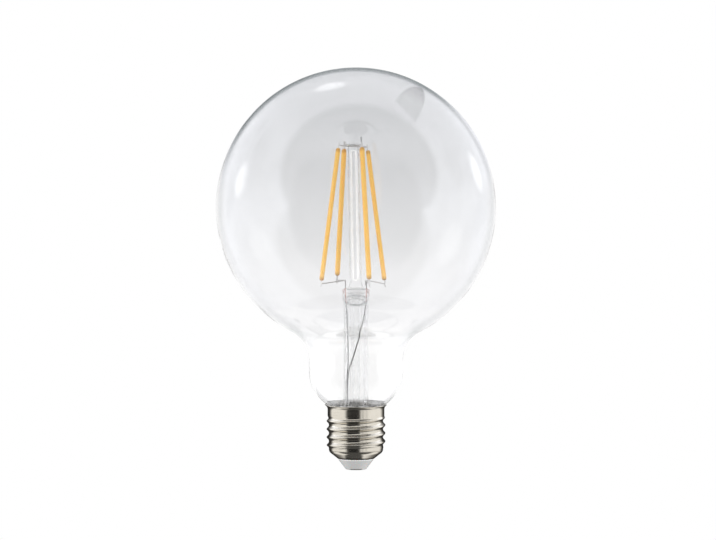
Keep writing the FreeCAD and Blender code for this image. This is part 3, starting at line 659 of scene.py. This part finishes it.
def make_wire():
    """Nickel wire with drawing lines: copper-coated where it is sealed into the press, and dark below it."""
    tree = material("wire_nickel")
    height = tree.height()
    scale = tree.noise(tree.stretched(tree.place(), (2500.0, 2500.0, 250.0)), 1.0, 3.0)
    plain = tree.mix(scale, (0.50, 0.495, 0.49, 1), (0.74, 0.735, 0.725, 1))
    # Darker below the press
    plain = tree.mix(tree.zone(height, LOW_LEAD_DARK_RISE), plain, (0.02, 0.018, 0.016, 1))
    copper = tree.mix(scale, (0.60, 0.24, 0.21, 1), (0.78, 0.38, 0.33, 1))
    colour = tree.mix(tree.zone(height, COPPER_RISE), plain, copper)
    rough = tree.plus(0.28, tree.times(scale, 0.2))
    tree.coat((scale, 0.00001, 0.6), Base_Color=colour, Metallic=0.75, Roughness=rough)


def make_plastic():
    """Pale grey moulded plastic with a satin grain, a shoulder made paler by painted highlight, and a darker
    tip beside the contact.
    """
    tree = material("insulator_plastic")
    place = tree.place()
    x, _, height = tree.parts(place)
    cloud = tree.noise(place, 300.0, 3.0)
    grain = tree.noise(place, 3800.0, 2.0)
    body = tree.mix(cloud, (0.405, 0.405, 0.402, 1), (0.455, 0.455, 0.45, 1))
    # Painted highlight: a paler band at the top of the shoulder
    colour = tree.mix(tree.zone(height, SHOULDER_HIGHLIGHT_RISE), body, (0.70, 0.70, 0.69, 1))
    # Darker at the tip beside the contact
    tip_dark = tree.times(tree.zone(tree.math("ABSOLUTE", x), TIP_DARK_ACROSS), tree.zone(height, TIP_DARK_RISE))
    colour = tree.mix(tree.times(tip_dark, 0.85), colour, (0.06, 0.055, 0.05, 1))
    rough = tree.plus(0.38, tree.times(cloud, 0.14))
    tree.coat((grain, 0.00001, 0.7), Base_Color=colour, Roughness=rough, Subsurface_Weight=0.08,
              Subsurface_Scale=0.0008)


def make_cement():
    """Baked cement: grey, pitted, with darker scorched patches."""
    tree = material("cement")
    place = tree.place()
    patches = tree.noise(place, 420.0, 3.0, 0.6)
    pits = tree.noise(place, 1500.0, 3.0, 0.7)
    colour = tree.mix(tree.steps(patches, 0.42, 0.58), (0.095, 0.093, 0.091, 1), (0.31, 0.307, 0.302, 1))
    colour = tree.mix(tree.steps(pits, 0.54, 0.64), colour, (0.53, 0.526, 0.52, 1))
    tree.coat((pits, 0.00015, 0.9), Base_Color=colour, Roughness=0.8)


def make_plain(name, grain, detail, uneven, colours, rough, metallic, relief):
    """Finish made from one noise: its colour, its relief and, where its span isn't 0, its roughness."""
    tree = material(name)
    grains = tree.noise(tree.stretched(tree.place(), grain), 1.0, detail, uneven)
    least, span = rough
    roughness = tree.plus(least, tree.times(grains, span)) if span else least
    tree.coat((grains,) + relief, Base_Color=tree.mix(grains, *colours), Metallic=metallic,
              Roughness=roughness)


def make_board():
    """Glass-fibre laminate with its weave."""
    tree = material("board_laminate")
    place = tree.place()
    weave = tree.node("ShaderNodeTexChecker", inputs={"Vector": place, "Scale": 2200.0}).outputs[1]
    cloud = tree.noise(place, 500.0, 2.0)
    colour = tree.mix(cloud, (0.78, 0.80, 0.74, 1), (0.88, 0.89, 0.85, 1))
    colour = tree.mix(tree.times(weave, 0.08), colour, (0.5, 0.55, 0.42, 1))
    tree.coat((weave, 0.00001, 0.4), Base_Color=colour, Roughness=0.35)


def throat_bend():
    """Centre of the fillet between shoulder and throat, and how far round it goes in degrees."""
    across = THROAT_MM + THROAT_FILLET_MM
    spread = across - SHOULDER_CENTRE_MM[0]
    drop = sqrt((SHOULDER_MM + THROAT_FILLET_MM) ** 2 - spread ** 2)
    return (across, SHOULDER_TOP_MM - drop), degrees(atan2(drop, spread))


def envelope(inset):
    """Outline of the glass from the crown to the throat's end, set in from the outer surface."""
    globe_height = LENGTH_MM - GLOBE_MM
    fillet_x = NECK_MM + NECK_FILLET_MM
    drop = sqrt((GLOBE_MM + NECK_FILLET_MM) ** 2 - fillet_x ** 2)
    join = degrees(atan2(drop, fillet_x))
    throat_centre, turn = throat_bend()
    crown = arc((0.0, globe_height), GLOBE_MM - inset, 90, -join, GLOBE_STEPS)
    crown[0] = (0.0, LENGTH_MM - inset)
    neck = arc((fillet_x, globe_height - drop), NECK_FILLET_MM + inset, 180 - join, 180, NECK_STEPS)
    shoulder = arc(SHOULDER_CENTRE_MM, SHOULDER_MM - inset, 0, -turn, NECK_STEPS)
    throat = arc(throat_centre, THROAT_FILLET_MM + inset, 180 - turn, 180, THROAT_STEPS)
    return crown + neck[1:] + shoulder + throat[1:] + [(THROAT_MM - inset, THROAT_END_MM)]


def blown(point):
    """A point of the glass, moved by the slow unevenness of a blown wall."""
    wave = noise.noise(point / BLOWN_WAVE_LENGTH_MM + Vector((3.1, 7.7, 1.3)))
    share = min(max((point.z - BLOWN_START_MM) / BLOWN_RAMP_MM, 0.0), 1.0)
    rise = point.z - (LENGTH_MM - GLOBE_MM) if point.z > BLOWN_ROUND_MM else 0.0
    inward = Vector((point.x, point.y, rise))
    if inward.length < TINY:
        return point
    return point - inward.normalized() * (BLOWN_WAVE_MM * share * (wave + 1.0) / 2)


def build_globe():
    """Globe, neck, shoulder and throat: outer skin, throat's end and inner skin in one closed surface."""
    profile = envelope(0.0) + list(reversed(envelope(WALL_MM)))
    skin("globe_glass", lathe(profile, GLASS_SEGMENTS), "clear_glass", ("glass_globe",), warp=blown)


def leaned(rings):
    """Rings of the post, built upright from its foot, set on the press and leant."""
    lean = (POST_TOP_X_MM - POST_FOOT_X_MM) / (POST_TOP_MM - PRESS_TOP_MM)

    def placed(p):
        return Vector((p.x + POST_FOOT_X_MM + lean * p.z, p.y, p.z + PRESS_TOP_MM))

    return [[placed(p) for p in points] for points in rings]


def post_rings(post_length):
    """Post from its crown down, and the bead that it ends in."""
    crown = arc((POST_MM - POST_CROWN_MM, post_length - POST_CROWN_MM), POST_CROWN_MM, 90, 0, 10)
    side = run((POST_MM, post_length - 2.0), (POST_MM, BEAD_HEIGHT_MM + 0.6), 24)
    rings = leaned(lathe([(0.0, post_length)] + crown + side, STEM_SEGMENTS))
    for share, fall in BEAD_SHARES:
        width = POST_MM + (BEAD_WIDTH_MM - POST_MM) * share ** 1.6
        depth = POST_MM + (BEAD_DEPTH_MM - POST_MM) * share
        height = PRESS_TOP_MM + BEAD_HEIGHT_MM * (1 - fall) + 0.25
        rings.append(ring(width, height, STEM_SEGMENTS, POST_FOOT_X_MM, depth))
    return rings


def press_rings():
    """Press from its rounded top, flat and squarish, down to the round tube."""
    sections = [
        (BEAD_WIDTH_MM + 0.35, BEAD_DEPTH_MM + 0.1, PRESS_TOP_MM + 0.05, 2.0),
        (PRESS_MM - 0.9, PRESS_TOP_DEPTH_MM - 0.45, PRESS_TOP_MM, 2.8),
        (PRESS_MM - 0.35, PRESS_TOP_DEPTH_MM - 0.2, PRESS_TOP_MM - 0.15, 3.2),
        (PRESS_MM - 0.08, PRESS_TOP_DEPTH_MM - 0.05, PRESS_TOP_MM - 0.5, PRESS_SQUARENESS),
    ]
    top = PRESS_TOP_MM - 0.8
    for step in range(PRESS_STEPS + 1):
        height = top + (PRESS_BOTTOM_MM - top) * step / PRESS_STEPS
        pinch = eased(height, PRESS_WAIST_HEIGHT_MM, top)
        below = eased(height, PRESS_WAIST_HEIGHT_MM, PRESS_BOTTOM_MM)
        depth = PRESS_WAIST_MM + (PRESS_TOP_DEPTH_MM - PRESS_WAIST_MM) * pinch
        depth += (TUBE_MM - PRESS_WAIST_MM) * below
        width = PRESS_MM + (TUBE_MM - PRESS_MM) * below
        squareness = 2.0 + (PRESS_SQUARENESS - 2.0) * (1 - below) * (0.5 + 0.5 * pinch)
        sections.append((width, depth, height, squareness))
    return [ring(width, height, STEM_SEGMENTS, 0.0, depth, squareness)
            for width, depth, height, squareness in sections]


def tube_profile():
    """Outside of the tube down to the flare's rim, and its inside back up to the cavity's dome."""
    drop = FLARE_START_MM - THROAT_END_MM - 1.0
    spread = RIM_INNER_MM - TUBE_MM
    radius = (spread ** 2 + drop ** 2) / (2 * spread)
    centre = (TUBE_MM + radius, FLARE_START_MM)
    opening = degrees(asin(drop / radius))
    bend = FLARE_START_MM + 1.0
    profile = run((TUBE_MM, PRESS_BOTTOM_MM - 1.5), (TUBE_MM, bend), 14)
    profile += arc(centre, radius, 180, 180 + opening, 14)
    profile += [(RIM_INNER_MM, THROAT_END_MM), (RIM_INNER_MM - TUBE_WALL_MM, THROAT_END_MM)]
    profile += arc(centre, radius + TUBE_WALL_MM, 180 + opening, 180, 14)
    inside = TUBE_MM - TUBE_WALL_MM
    profile += run((inside, bend), (inside, PRESS_BOTTOM_MM), 14)
    wall_x = inside - CAVITY_TAPER_MM
    wall_z = PRESS_BOTTOM_MM + CAVITY_WALL_MM
    profile += run((inside, PRESS_BOTTOM_MM), (wall_x, wall_z), 6)[1:]
    for step in range(1, 11):
        angle = pi / 2 * step / 10
        reach = (wall_x - EXHAUST_MM) * cos(angle)
        rise = (CAVITY_MM - CAVITY_WALL_MM) * sin(angle)
        profile.append((EXHAUST_MM + reach, wall_z + rise))
    return profile


def exhaust_profile():
    """Outside of the exhaust tube from the cavity's dome down to its melted tip."""
    shut = EXHAUST_TIP_MM + EXHAUST_NOSE_MM
    profile = run((EXHAUST_MM, PRESS_BOTTOM_MM + CAVITY_MM - 0.3), (EXHAUST_MM, shut), 20)
    for step in range(1, 8):
        angle = pi / 2 * step / 8
        profile.append((EXHAUST_MM * cos(angle), shut - EXHAUST_NOSE_MM * sin(angle)))
    return profile + [(0.0, EXHAUST_TIP_MM)]


def build_stem():
    """Flare, tube, press, bead, post and exhaust tube: one melted piece of glass with two air bores."""
    post_length = POST_TOP_MM - PRESS_TOP_MM
    rings = post_rings(post_length) + press_rings()
    rings += lathe(tube_profile() + exhaust_profile(), STEM_SEGMENTS)
    skin("stem_glass_body", rings, "stem_glass", ("flare_stem", "stem_post", "exhaust_tube"))

    shut = EXHAUST_TIP_MM + EXHAUST_NOSE_MM
    roof = PRESS_BOTTOM_MM + CAVITY_MM + BLOW_HOLE_RISE_MM
    bore = [(0.0, shut)] + run((EXHAUST_BORE_MM, shut + 0.4), (EXHAUST_BORE_MM, roof - 0.8), 20)
    bore += [(0.7, roof - 0.15), (0.0, roof)]
    skin("exhaust_bore", lathe(bore, STEM_SEGMENTS), "stem_glass")

    low = BEAD_HEIGHT_MM
    high = post_length - POST_CAP_MM
    hollow = [(0.0, low), (0.6, low + 0.08), (1.0, low + 0.4)]
    hollow += run((POST_BORE_MM, low + 1.0), (POST_BORE_MM, high - 0.7), 24)
    hollow += [(0.85, high - 0.2), (0.0, high)]
    post_bore = skin("post_bore", leaned(lathe(hollow, STEM_SEGMENTS)), "stem_glass")
    post_bore.data.materials[0] = MATERIALS["bore_glass"]


def thread_radius(angle, height, inset):
    """Radius of the rolled thread: a wave that climbs one pitch a turn and fades out at both ends."""
    rise = eased(height, THREAD_BOTTOM_MM, THREAD_BOTTOM_MM + FADE_MM)
    ramp = rise * eased(height, THREAD_TOP_MM, THREAD_TOP_MM - FADE_MM)
    end = MINOR_MM if rise < 1 else COLLAR_MM
    phase = 2 * pi * (height - CREST_MM) / PITCH_MM - angle
    wave = cos(phase) - CREST_SHARPNESS * sin(phase) ** 2
    mean = (MAJOR_MM + MINOR_MM) / 2
    depth = (MAJOR_MM - MINOR_MM) / 2
    return end + ramp * (mean - end + depth * wave) - inset


def rim_flare(inset, steps):
    """Arc that flares the shell's rim, from its lip down to the collar, set in from the outer surface."""
    spread = RIM_MM - COLLAR_MM
    radius = (spread ** 2 + RIM_FLARE_MM ** 2) / (2 * spread)
    opening = degrees(asin(RIM_FLARE_MM / radius))
    centre = (COLLAR_MM + radius, RIM_TOP_MM - RIM_FLARE_MM)
    return arc(centre, radius + inset, 180 - opening, 180, steps)


def end_profile(inset):
    """The bend under the shell's thread, and the cone from it in to the opening's edge."""
    cone = radians(END_CONE)
    corner = END_HEIGHT_MM + (MINOR_MM - END_MM) * tan(cone)
    radius = (THREAD_BOTTOM_MM - corner) / tan((pi / 2 - cone) / 2)
    bend = arc((MINOR_MM - radius, THREAD_BOTTOM_MM), radius - inset, 0, END_CONE - 90, 12)
    edge = (END_MM - inset * sin(cone), END_HEIGHT_MM + inset * cos(cone))
    return bend[1:], run(bend[-1], edge, 4)[1:]


def shell_skin(inset, rows):
    """Rings of the shell from the rim's lip down to the opening of its end."""
    side = run((COLLAR_MM - inset, COLLAR_TOP_MM), (COLLAR_MM - inset, THREAD_TOP_MM + 0.1), 6)
    rings = lathe(rim_flare(inset, 10) + side, CAP_SEGMENTS)
    for row in range(rows + 1):
        height = THREAD_TOP_MM + (THREAD_BOTTOM_MM - THREAD_TOP_MM) * row / rows
        points = []
        for i in range(CAP_SEGMENTS):
            angle = 2 * pi * i / CAP_SEGMENTS
            radius = thread_radius(angle, height, inset)
            points.append(Vector((radius * cos(angle), radius * sin(angle), height)))
        rings.append(points)
    bend, cone = end_profile(inset)
    return rings + lathe(bend + cone, CAP_SEGMENTS)


def build_cap():
    """Shell of the cap: outer and inner skins joined over the rounded lip and the end's opening."""
    outer = shell_skin(0.0, THREAD_ROWS)
    inner = shell_skin(SHEET_MM, THREAD_ROWS // 3)
    lip_out = outer[0][0]
    lip_in = inner[0][0]
    middle = (lip_out + lip_in) / 2
    lip = ring(middle.x + 0.02, middle.z + 0.13, CAP_SEGMENTS)
    rings = [lip] + outer + list(reversed(inner))
    skin("cap_shell_skin", rings, "nickel_plate", ("cap_shell",), loop=True)


def build_cement():
    """Cement ring, squeezed up in lumps between the rim and the glass."""
    throat_centre, turn = throat_bend()
    rim_side = rim_flare(SHEET_MM, 6)
    lip, low = rim_side[0]
    steep = degrees(acos((lip - SHOULDER_CENTRE_MM[0]) / SHOULDER_MM))
    glass_side = arc(throat_centre, THROAT_FILLET_MM, 180, 180 - turn, 8)
    glass_side += arc(SHOULDER_CENTRE_MM, SHOULDER_MM, -turn, -steep, 4)[1:]
    high = glass_side[-1][1]
    valley = MINOR_MM - SHEET_MM - 0.05
    profile = [(THROAT_MM, CEMENT_BOTTOM_MM)] + glass_side
    profile += run(glass_side[-1], rim_side[0], 6)[1:] + rim_side[1:]
    profile += [(COLLAR_MM - SHEET_MM, THREAD_TOP_MM), (valley, THREAD_TOP_MM - 0.1)]
    profile.append((valley, CEMENT_BOTTOM_MM))
    profile.reverse()

    def lumpy(point):
        share = (point.z - low + 0.05) / (high - low)
        if share < 0 or hypot(point.x, point.y) < lip - 0.05:
            return point
        lump = sum(height * noise.noise(point * rate) for rate, height in CEMENT_WAVES)
        reach = CEMENT_LUMP_MM * sin(pi * min(share, 1.0)) * max(0.35 + lump, 0.0)
        return point + Vector((point.x, point.y, 0)).normalized() * reach

    skin("cement_ring", lathe(profile, CAP_SEGMENTS), "cement", ("cap_cement",), warp=lumpy, loop=True)


def build_insulator():
    """Moulded cone under the shell, with its cup inside."""
    bend, cone = end_profile(SHEET_MM)
    edge_x, edge_z = cone[-1]
    points = [
        (SLEEVE_MM - SLEEVE_WALL_MM, CUP_STEP_MM),
        (SLEEVE_MM - SLEEVE_WALL_MM, INSULATOR_TOP_MM),
        (SLEEVE_MM, INSULATOR_TOP_MM),
        (SLEEVE_MM, THREAD_BOTTOM_MM - INSULATOR_SHOULDER_MM),
        bend[-1],
        cone[-1],
        (edge_x, edge_z - INSULATOR_SHOULDER_MM),
        (edge_x - INSULATOR_SHOULDER_MM / 2, edge_z - 2 * INSULATOR_SHOULDER_MM),
        (INSULATOR_TIP_MM, INSULATOR_TIP_HEIGHT_MM),
        (INSULATOR_TIP_MM - INSULATOR_TIP_HEIGHT_MM + INSULATOR_BOTTOM_MM, INSULATOR_BOTTOM_MM),
        (CONTACT_MM, INSULATOR_BOTTOM_MM),
        (CONTACT_MM, CONTACT_HEAD_MM),
        (CONTACT_STEM_MM, CONTACT_HEAD_MM),
        (CONTACT_STEM_MM, INSULATOR_FLOOR_MM),
        (CUP_MM, INSULATOR_FLOOR_MM),
    ]
    radii = [0, 0.15, 0.15, 0.1, 0.1, 0.05, 0.12, 0.15, 0.25, 0.2, 0.12, 0, 0, 0, 0]
    rings = lathe(filleted(points, radii), CAP_SEGMENTS)
    skin("insulator_moulding", rings, "insulator_plastic", ("insulator",), loop=True)


def build_contact():
    """Domed rivet head, its stem and the flange turned over inside."""
    top = INSULATOR_FLOOR_MM + CONTACT_FLANGE_HEIGHT_MM
    points = [
        (0, top),
        (CONTACT_FLANGE_MM, top),
        (CONTACT_FLANGE_MM, INSULATOR_FLOOR_MM),
        (CONTACT_STEM_MM, INSULATOR_FLOOR_MM),
        (CONTACT_STEM_MM, CONTACT_HEAD_MM),
        (CONTACT_MM, CONTACT_HEAD_MM),
        (CONTACT_MM, CONTACT_EDGE_MM),
        (CONTACT_FLAT_MM, 0.02),
        (0, 0),
    ]
    radii = [0, 0.15, 0, 0, 0, 0.05, 0.3, 0.6, 0]
    skin("contact_rivet", lathe(filleted(points, radii, 6), 64), "contact_metal", ("centre_contact",))


def filament_axis(index):
    """Foot and top of a filament's axis and the way its broad face looks."""
    def polar(radius, azimuth):
        angle = radians(azimuth)
        return Vector((radius * cos(angle), radius * sin(angle), 0))

    quarter = FILAMENT_QUARTERS[index]
    middle = Vector((FILAMENT_RING_X_MM, 0, FILAMENT_MIDS_MM[index]))
    top = middle + polar(FILAMENT_TOP_MM, quarter + FILAMENT_TOP_AZIMUTH)
    foot = middle + polar(FILAMENT_FOOT_MM, quarter + FILAMENT_FOOT_AZIMUTH)
    across = hypot(top.x - foot.x, top.y - foot.y)
    half = sqrt(FILAMENT_LENGTH_MM ** 2 - across ** 2) / 2
    top.z += half
    foot.z -= half
    along = (top - foot).normalized()
    outward = polar(1, quarter + FILAMENT_FOOT_AZIMUTH)
    outward = (outward - along * outward.dot(along)).normalized()
    return foot, top, along, outward


def build_filament(index):
    """Phosphor coat of one filament: a rounded bar with domed ends and slightly uneven sides."""
    foot, top, along, outward = filament_axis(index)
    foot -= along * COAT_OVER_FOOT_MM[index]
    length = FILAMENT_LENGTH_MM + COAT_OVER_FOOT_MM[index] + COAT_OVER_TOP_MM[index]
    side = along.cross(outward)
    rings = []
    for row in range(FILAMENT_ROWS + 1):
        reach = length * (1 - cos(pi * row / FILAMENT_ROWS)) / 2
        if row in (0, FILAMENT_ROWS):
            rings.append([foot + along * reach])
            continue
        rest = min(reach, length - reach)
        cap = sqrt(1 - max(0.0, 1 - rest / FILAMENT_CAP_MM) ** 2)
        swell = 1 + FILAMENT_SWELL * noise.noise(Vector((reach / FILAMENT_WAVE_MM, index * 9.1, 0.4)))
        points = []
        for i in range(FILAMENT_SEGMENTS):
            angle = 2 * pi * i / FILAMENT_SEGMENTS
            c, s = cos(angle), sin(angle)
            u = copysign(abs(c) ** FILAMENT_ROUNDNESS, c) * FILAMENT_WIDTH_MM / 2 * swell * cap
            v = copysign(abs(s) ** FILAMENT_ROUNDNESS, s) * FILAMENT_THICKNESS_MM / 2 * swell * cap
            points.append(foot + along * reach + side * u + outward * v)
        rings.append(points)
    rings.reverse()
    skin("filament_coat_%d" % (index + 1), rings, "phosphor", ("filament_%d" % (index + 1),))


def add_card(name, vertices, faces):
    """An emissive card seen only in the metal."""
    card = add_mesh(name, vertices, faces, name)
    card.visible_camera = False
    card.visible_diffuse = False
    card.visible_transmission = False
    card.visible_shadow = False


def paint_card(tree, dark, depth):
    """Ends a card's tree: warm white, less bright by a depth where it is dark."""
    inputs = {"Color": (1.0, 0.985, 0.955, 1), "Strength": tree.less(1.0, tree.times(dark, depth))}
    tree.surface(tree.node("ShaderNodeEmission", inputs=inputs).outputs[0])


def build_standing_card():
    """Ring of white card round the cap: dark where the camera looks in, and behind."""
    tree = material("card")
    x, y, height = tree.parts(tree.place())
    azimuth = tree.math("ARCTAN2", x, tree.times(y, -1.0))

    def sector(marks):
        return tree.zone(azimuth, [radians(mark) for mark in marks])

    lifted = tree.times(tree.zone(height, CARD_GAP_RISE), CARD_GAP_LIFT)
    dark = tree.times(sector(CARD_GAP), tree.less(1.0, lifted))
    for marks, shade in CARD_SHADES:
        dark = tree.larger(dark, tree.times(sector(marks), shade))
    dark = tree.larger(dark, tree.times(tree.zone(height, CARD_LOW_RISE), CARD_LOW_SHADE))
    paint_card(tree, dark, 0.98)
    vertices = []
    for low in (True, False):
        for p in ring(CARD_RADIUS_MM, CARD_BOTTOM_MM, CARD_SIDES):
            back = p.y > 0
            top = CARD_BACK_TOP_MM if back else CARD_TOP_MM
            depth = p.y * CARD_BACK_MM / CARD_RADIUS_MM if back else p.y
            vertices.append(Vector((p.x, depth, p.z if low else top)))
    faces = []
    for i in range(CARD_SIDES):
        j = (i + 1) % CARD_SIDES
        faces.append([i, j, CARD_SIDES + j, CARD_SIDES + i])
    add_card("card", vertices, faces)


def build_low_card():
    """Round card under the cap: dark below the middle, in front and towards the back, pale at both sides."""
    tree = material("low_card")
    x, y, _ = tree.parts(tree.place())
    dark = tree.larger(tree.zone(x, LOW_CARD_MIDDLE), tree.zone(y, LOW_CARD_FAR))
    dark = tree.larger(dark, tree.zone(y, LOW_CARD_NEAR))
    paint_card(tree, dark, 0.92)
    circle = ring(LOW_CARD_RADIUS_MM, LOW_CARD_HEIGHT_MM, LOW_CARD_SIDES)
    vertices = [Vector((p.x, min(p.y, LOW_CARD_BACK_MM), p.z)) for p in circle]
    add_card("low_card", vertices, [list(range(LOW_CARD_SIDES))])


def room_share(tree, x, turn, up):
    """1 in the dark room round the camera, whose outline bulges upwards, more so to the left."""
    swing = tree.less(ROOM_POWER, tree.times(tree.steps(x, -0.3, 0.3), ROOM_POWER_FALL))
    swell = tree.times(tree.math("POWER", tree.larger(up, 0.0), swing), radians(ROOM_BULGE))
    sag = tree.times(tree.math("MINIMUM", up, 0.0), radians(ROOM_SAG))
    reach = tree.less(tree.plus(radians(ROOM_REACH), swell), sag)
    return tree.steps(tree.less(turn, reach), radians(ROOM_BLUR), radians(-ROOM_BLUR))


def studio_colour(tree, direction, depth):
    """What the glass and metal mirror: pale walls, glows, a leaf, and the dark room round the camera.

    Turn is the angle from the camera's side, up the height against the distance from that axis.
    """
    x, y, z = tree.parts(direction)
    turn = tree.math("ARCCOSINE", tree.times(y, -1.0))
    flat = tree.math("SQRT", tree.larger(tree.less(1.0, tree.math("POWER", y, 2.0)), TINY))
    up = tree.math("DIVIDE", z, flat)
    front = tree.zone(depth, FRONT_WALL_DEPTH)

    def turned(marks):
        return tree.zone(turn, [radians(mark) for mark in marks])

    side = tree.times(tree.times(tree.zone(z, WALL_RISE), tree.zone(up, WALL_TOP)), turned(WALL_TURN))
    colour = tree.mix(tree.zone(z, SKIRTING_RISE), grey(0.80), (1.0, 1.01, 1.05, 1))
    colour = tree.mix(side, colour, (1.42, 1.44, 1.50, 1))
    clouds = tree.times(tree.zone(tree.noise(direction, 2.6, 2.0), (0.42, 0.62)), 0.24)
    colour = tree.mix(clouds, colour, (0.45, 0.46, 0.48, 1))
    glow = 0.0
    for place, inner, outer, strength in GLOWS:
        share = tree.dot(direction, Vector(place).normalized())
        near = tree.steps(share, cos(radians(outer)), cos(radians(inner)))
        glow = tree.plus(glow, tree.times(near, strength))
    colour = tree.mix(1.0, colour, tree.shade(tree.times(glow, front)), "ADD")
    leaf = front
    for plane, fade in LEAF_SIDES:
        leaf = tree.times(leaf, tree.zone(tree.dot(direction, plane), fade))
    colour = tree.mix(leaf, colour, (0.34, 0.34, 0.35, 1))
    colour = tree.mix(room_share(tree, x, turn, up), colour, (0.03, 0.03, 0.032, 1))
    ground = tree.times(tree.zone(z, GROUND_RISE), tree.zone(depth, ANY_BOUNCE))
    colour = tree.mix(ground, colour, grey(1.5))
    low_edge = tree.times(turned(LOW_EDGE_TURN), tree.zone(up, LOW_EDGE_UP))
    colour = tree.mix(low_edge, colour, grey(1.02))
    tilt = radians(TOP_EDGE_TILT)
    leaning = tree.math("DIVIDE", tree.dot(direction, (cos(tilt), 0.0, sin(tilt))), flat)
    top_edge = tree.times(turned(TOP_EDGE_TURN), tree.zone(leaning, TOP_EDGE_LEAN))
    return tree.mix(top_edge, colour, (0.36, 0.39, 0.40, 1))


def build_world():
    """White all round for the camera, an even light for scattering, and the studio for reflections."""
    world = bpy.data.worlds.new("studio")
    bpy.context.scene.world = world
    world.use_nodes = True
    world.cycles.sampling_method = "NONE"
    tree = Tree(world.node_tree)
    path = tree.node("ShaderNodeLightPath").outputs
    direction = tree.node("ShaderNodeTexCoord").outputs["Generated"]
    z = tree.parts(direction)[2]
    straight = tree.mix(tree.zone(path["Transmission Depth"], ANY_BOUNCE), grey(1.0), grey(1.10))
    studio = studio_colour(tree, direction, path["Transmission Depth"])
    soft = tree.mix(tree.steps(z, -0.6, 0.8), grey(1.12), grey(0.98))
    seen = tree.mix(tree.zone(path["Glossy Depth"], ANY_BOUNCE), straight, studio)
    seen = tree.mix(tree.zone(path["Diffuse Depth"], ANY_BOUNCE), seen, soft)
    background = tree.node("ShaderNodeBackground", inputs={"Color": seen, "Strength": 1.0}).outputs[0]
    tree.node("ShaderNodeOutputWorld", inputs={"Surface": background})


def stand(item, place, target):
    """Sets an object in the scene at a place, turned towards a target."""
    item.location = place
    item.rotation_euler = (Vector(target) - Vector(place)).to_track_quat("-Z", "Y").to_euler()
    bpy.context.scene.collection.objects.link(item)


def build_lamp(name, place, power):
    """Square soft lamp that points at the globe lamp and shows in nothing."""
    light = bpy.data.lights.new(name, "AREA")
    light.shape = "SQUARE"
    light.size = LAMP_SIZE
    light.energy = power
    lamp = bpy.data.objects.new(name, light)
    lamp.visible_glossy = False
    lamp.visible_transmission = False
    stand(lamp, place, LAMP_TARGET)


def build_camera():
    """Long lens at the photograph's angle."""
    lens = bpy.data.cameras.new("camera")
    lens.sensor_width = SENSOR_MM
    lens.lens = FOCAL_MM
    camera = bpy.data.objects.new("camera", lens)
    stand(camera, CAMERA_PLACE, CAMERA_TARGET)
    bpy.context.scene.camera = camera


def set_light_paths():
    """Enough bounces for a lamp of several glass walls."""
    bpy.context.scene.view_settings.view_transform = "Standard"
    cycles = bpy.context.scene.cycles
    cycles.max_bounces = 32
    cycles.transmission_bounces = 32
    cycles.glossy_bounces = 16
    cycles.diffuse_bounces = 4
    cycles.transparent_max_bounces = 32
    cycles.sample_clamp_indirect = 8.0
    cycles.use_denoising = True


MATERIALS = {}
make_clear_glass()
make_stem_glass()
make_bore()
make_phosphor()
make_nickel()
make_wire()
make_plastic()
make_cement()
make_board()
for finish in PLAIN_FINISHES:
    make_plain(*finish)

build_globe()
build_stem()
build_cap()
build_cement()
build_insulator()
build_contact()
for number in range(len(FILAMENT_QUARTERS)):
    build_filament(number)

KEPT = {
    "wire_nickel": ["lead_wire_left", "lead_wire_right", "lead_branch_left", "lead_branch_right",
                    "support_wire_a", "support_wire_b", "shell_wire"],
    "tab_silver": ["filament_tab_%s_%d" % (end, i) for end in ("top", "foot") for i in (1, 2, 3, 4)],
    "board_laminate": ["driver_board"],
    "chip_black": ["bridge_rectifier", "driver_chip", "chip_resistor_1", "chip_resistor_2"],
    "capacitor_can": ["smoothing_capacitor"],
    "resistor_coat": ["fusible_resistor"],
}
for slot_name, node_names in KEPT.items():
    for node_name in node_names:
        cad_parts[node_name].data.materials.clear()
        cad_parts[node_name].data.materials.append(MATERIALS[slot_name])

build_standing_card()
build_low_card()
build_world()
for lamp_settings in LAMPS:
    build_lamp(*lamp_settings)
build_camera()
set_light_paths()
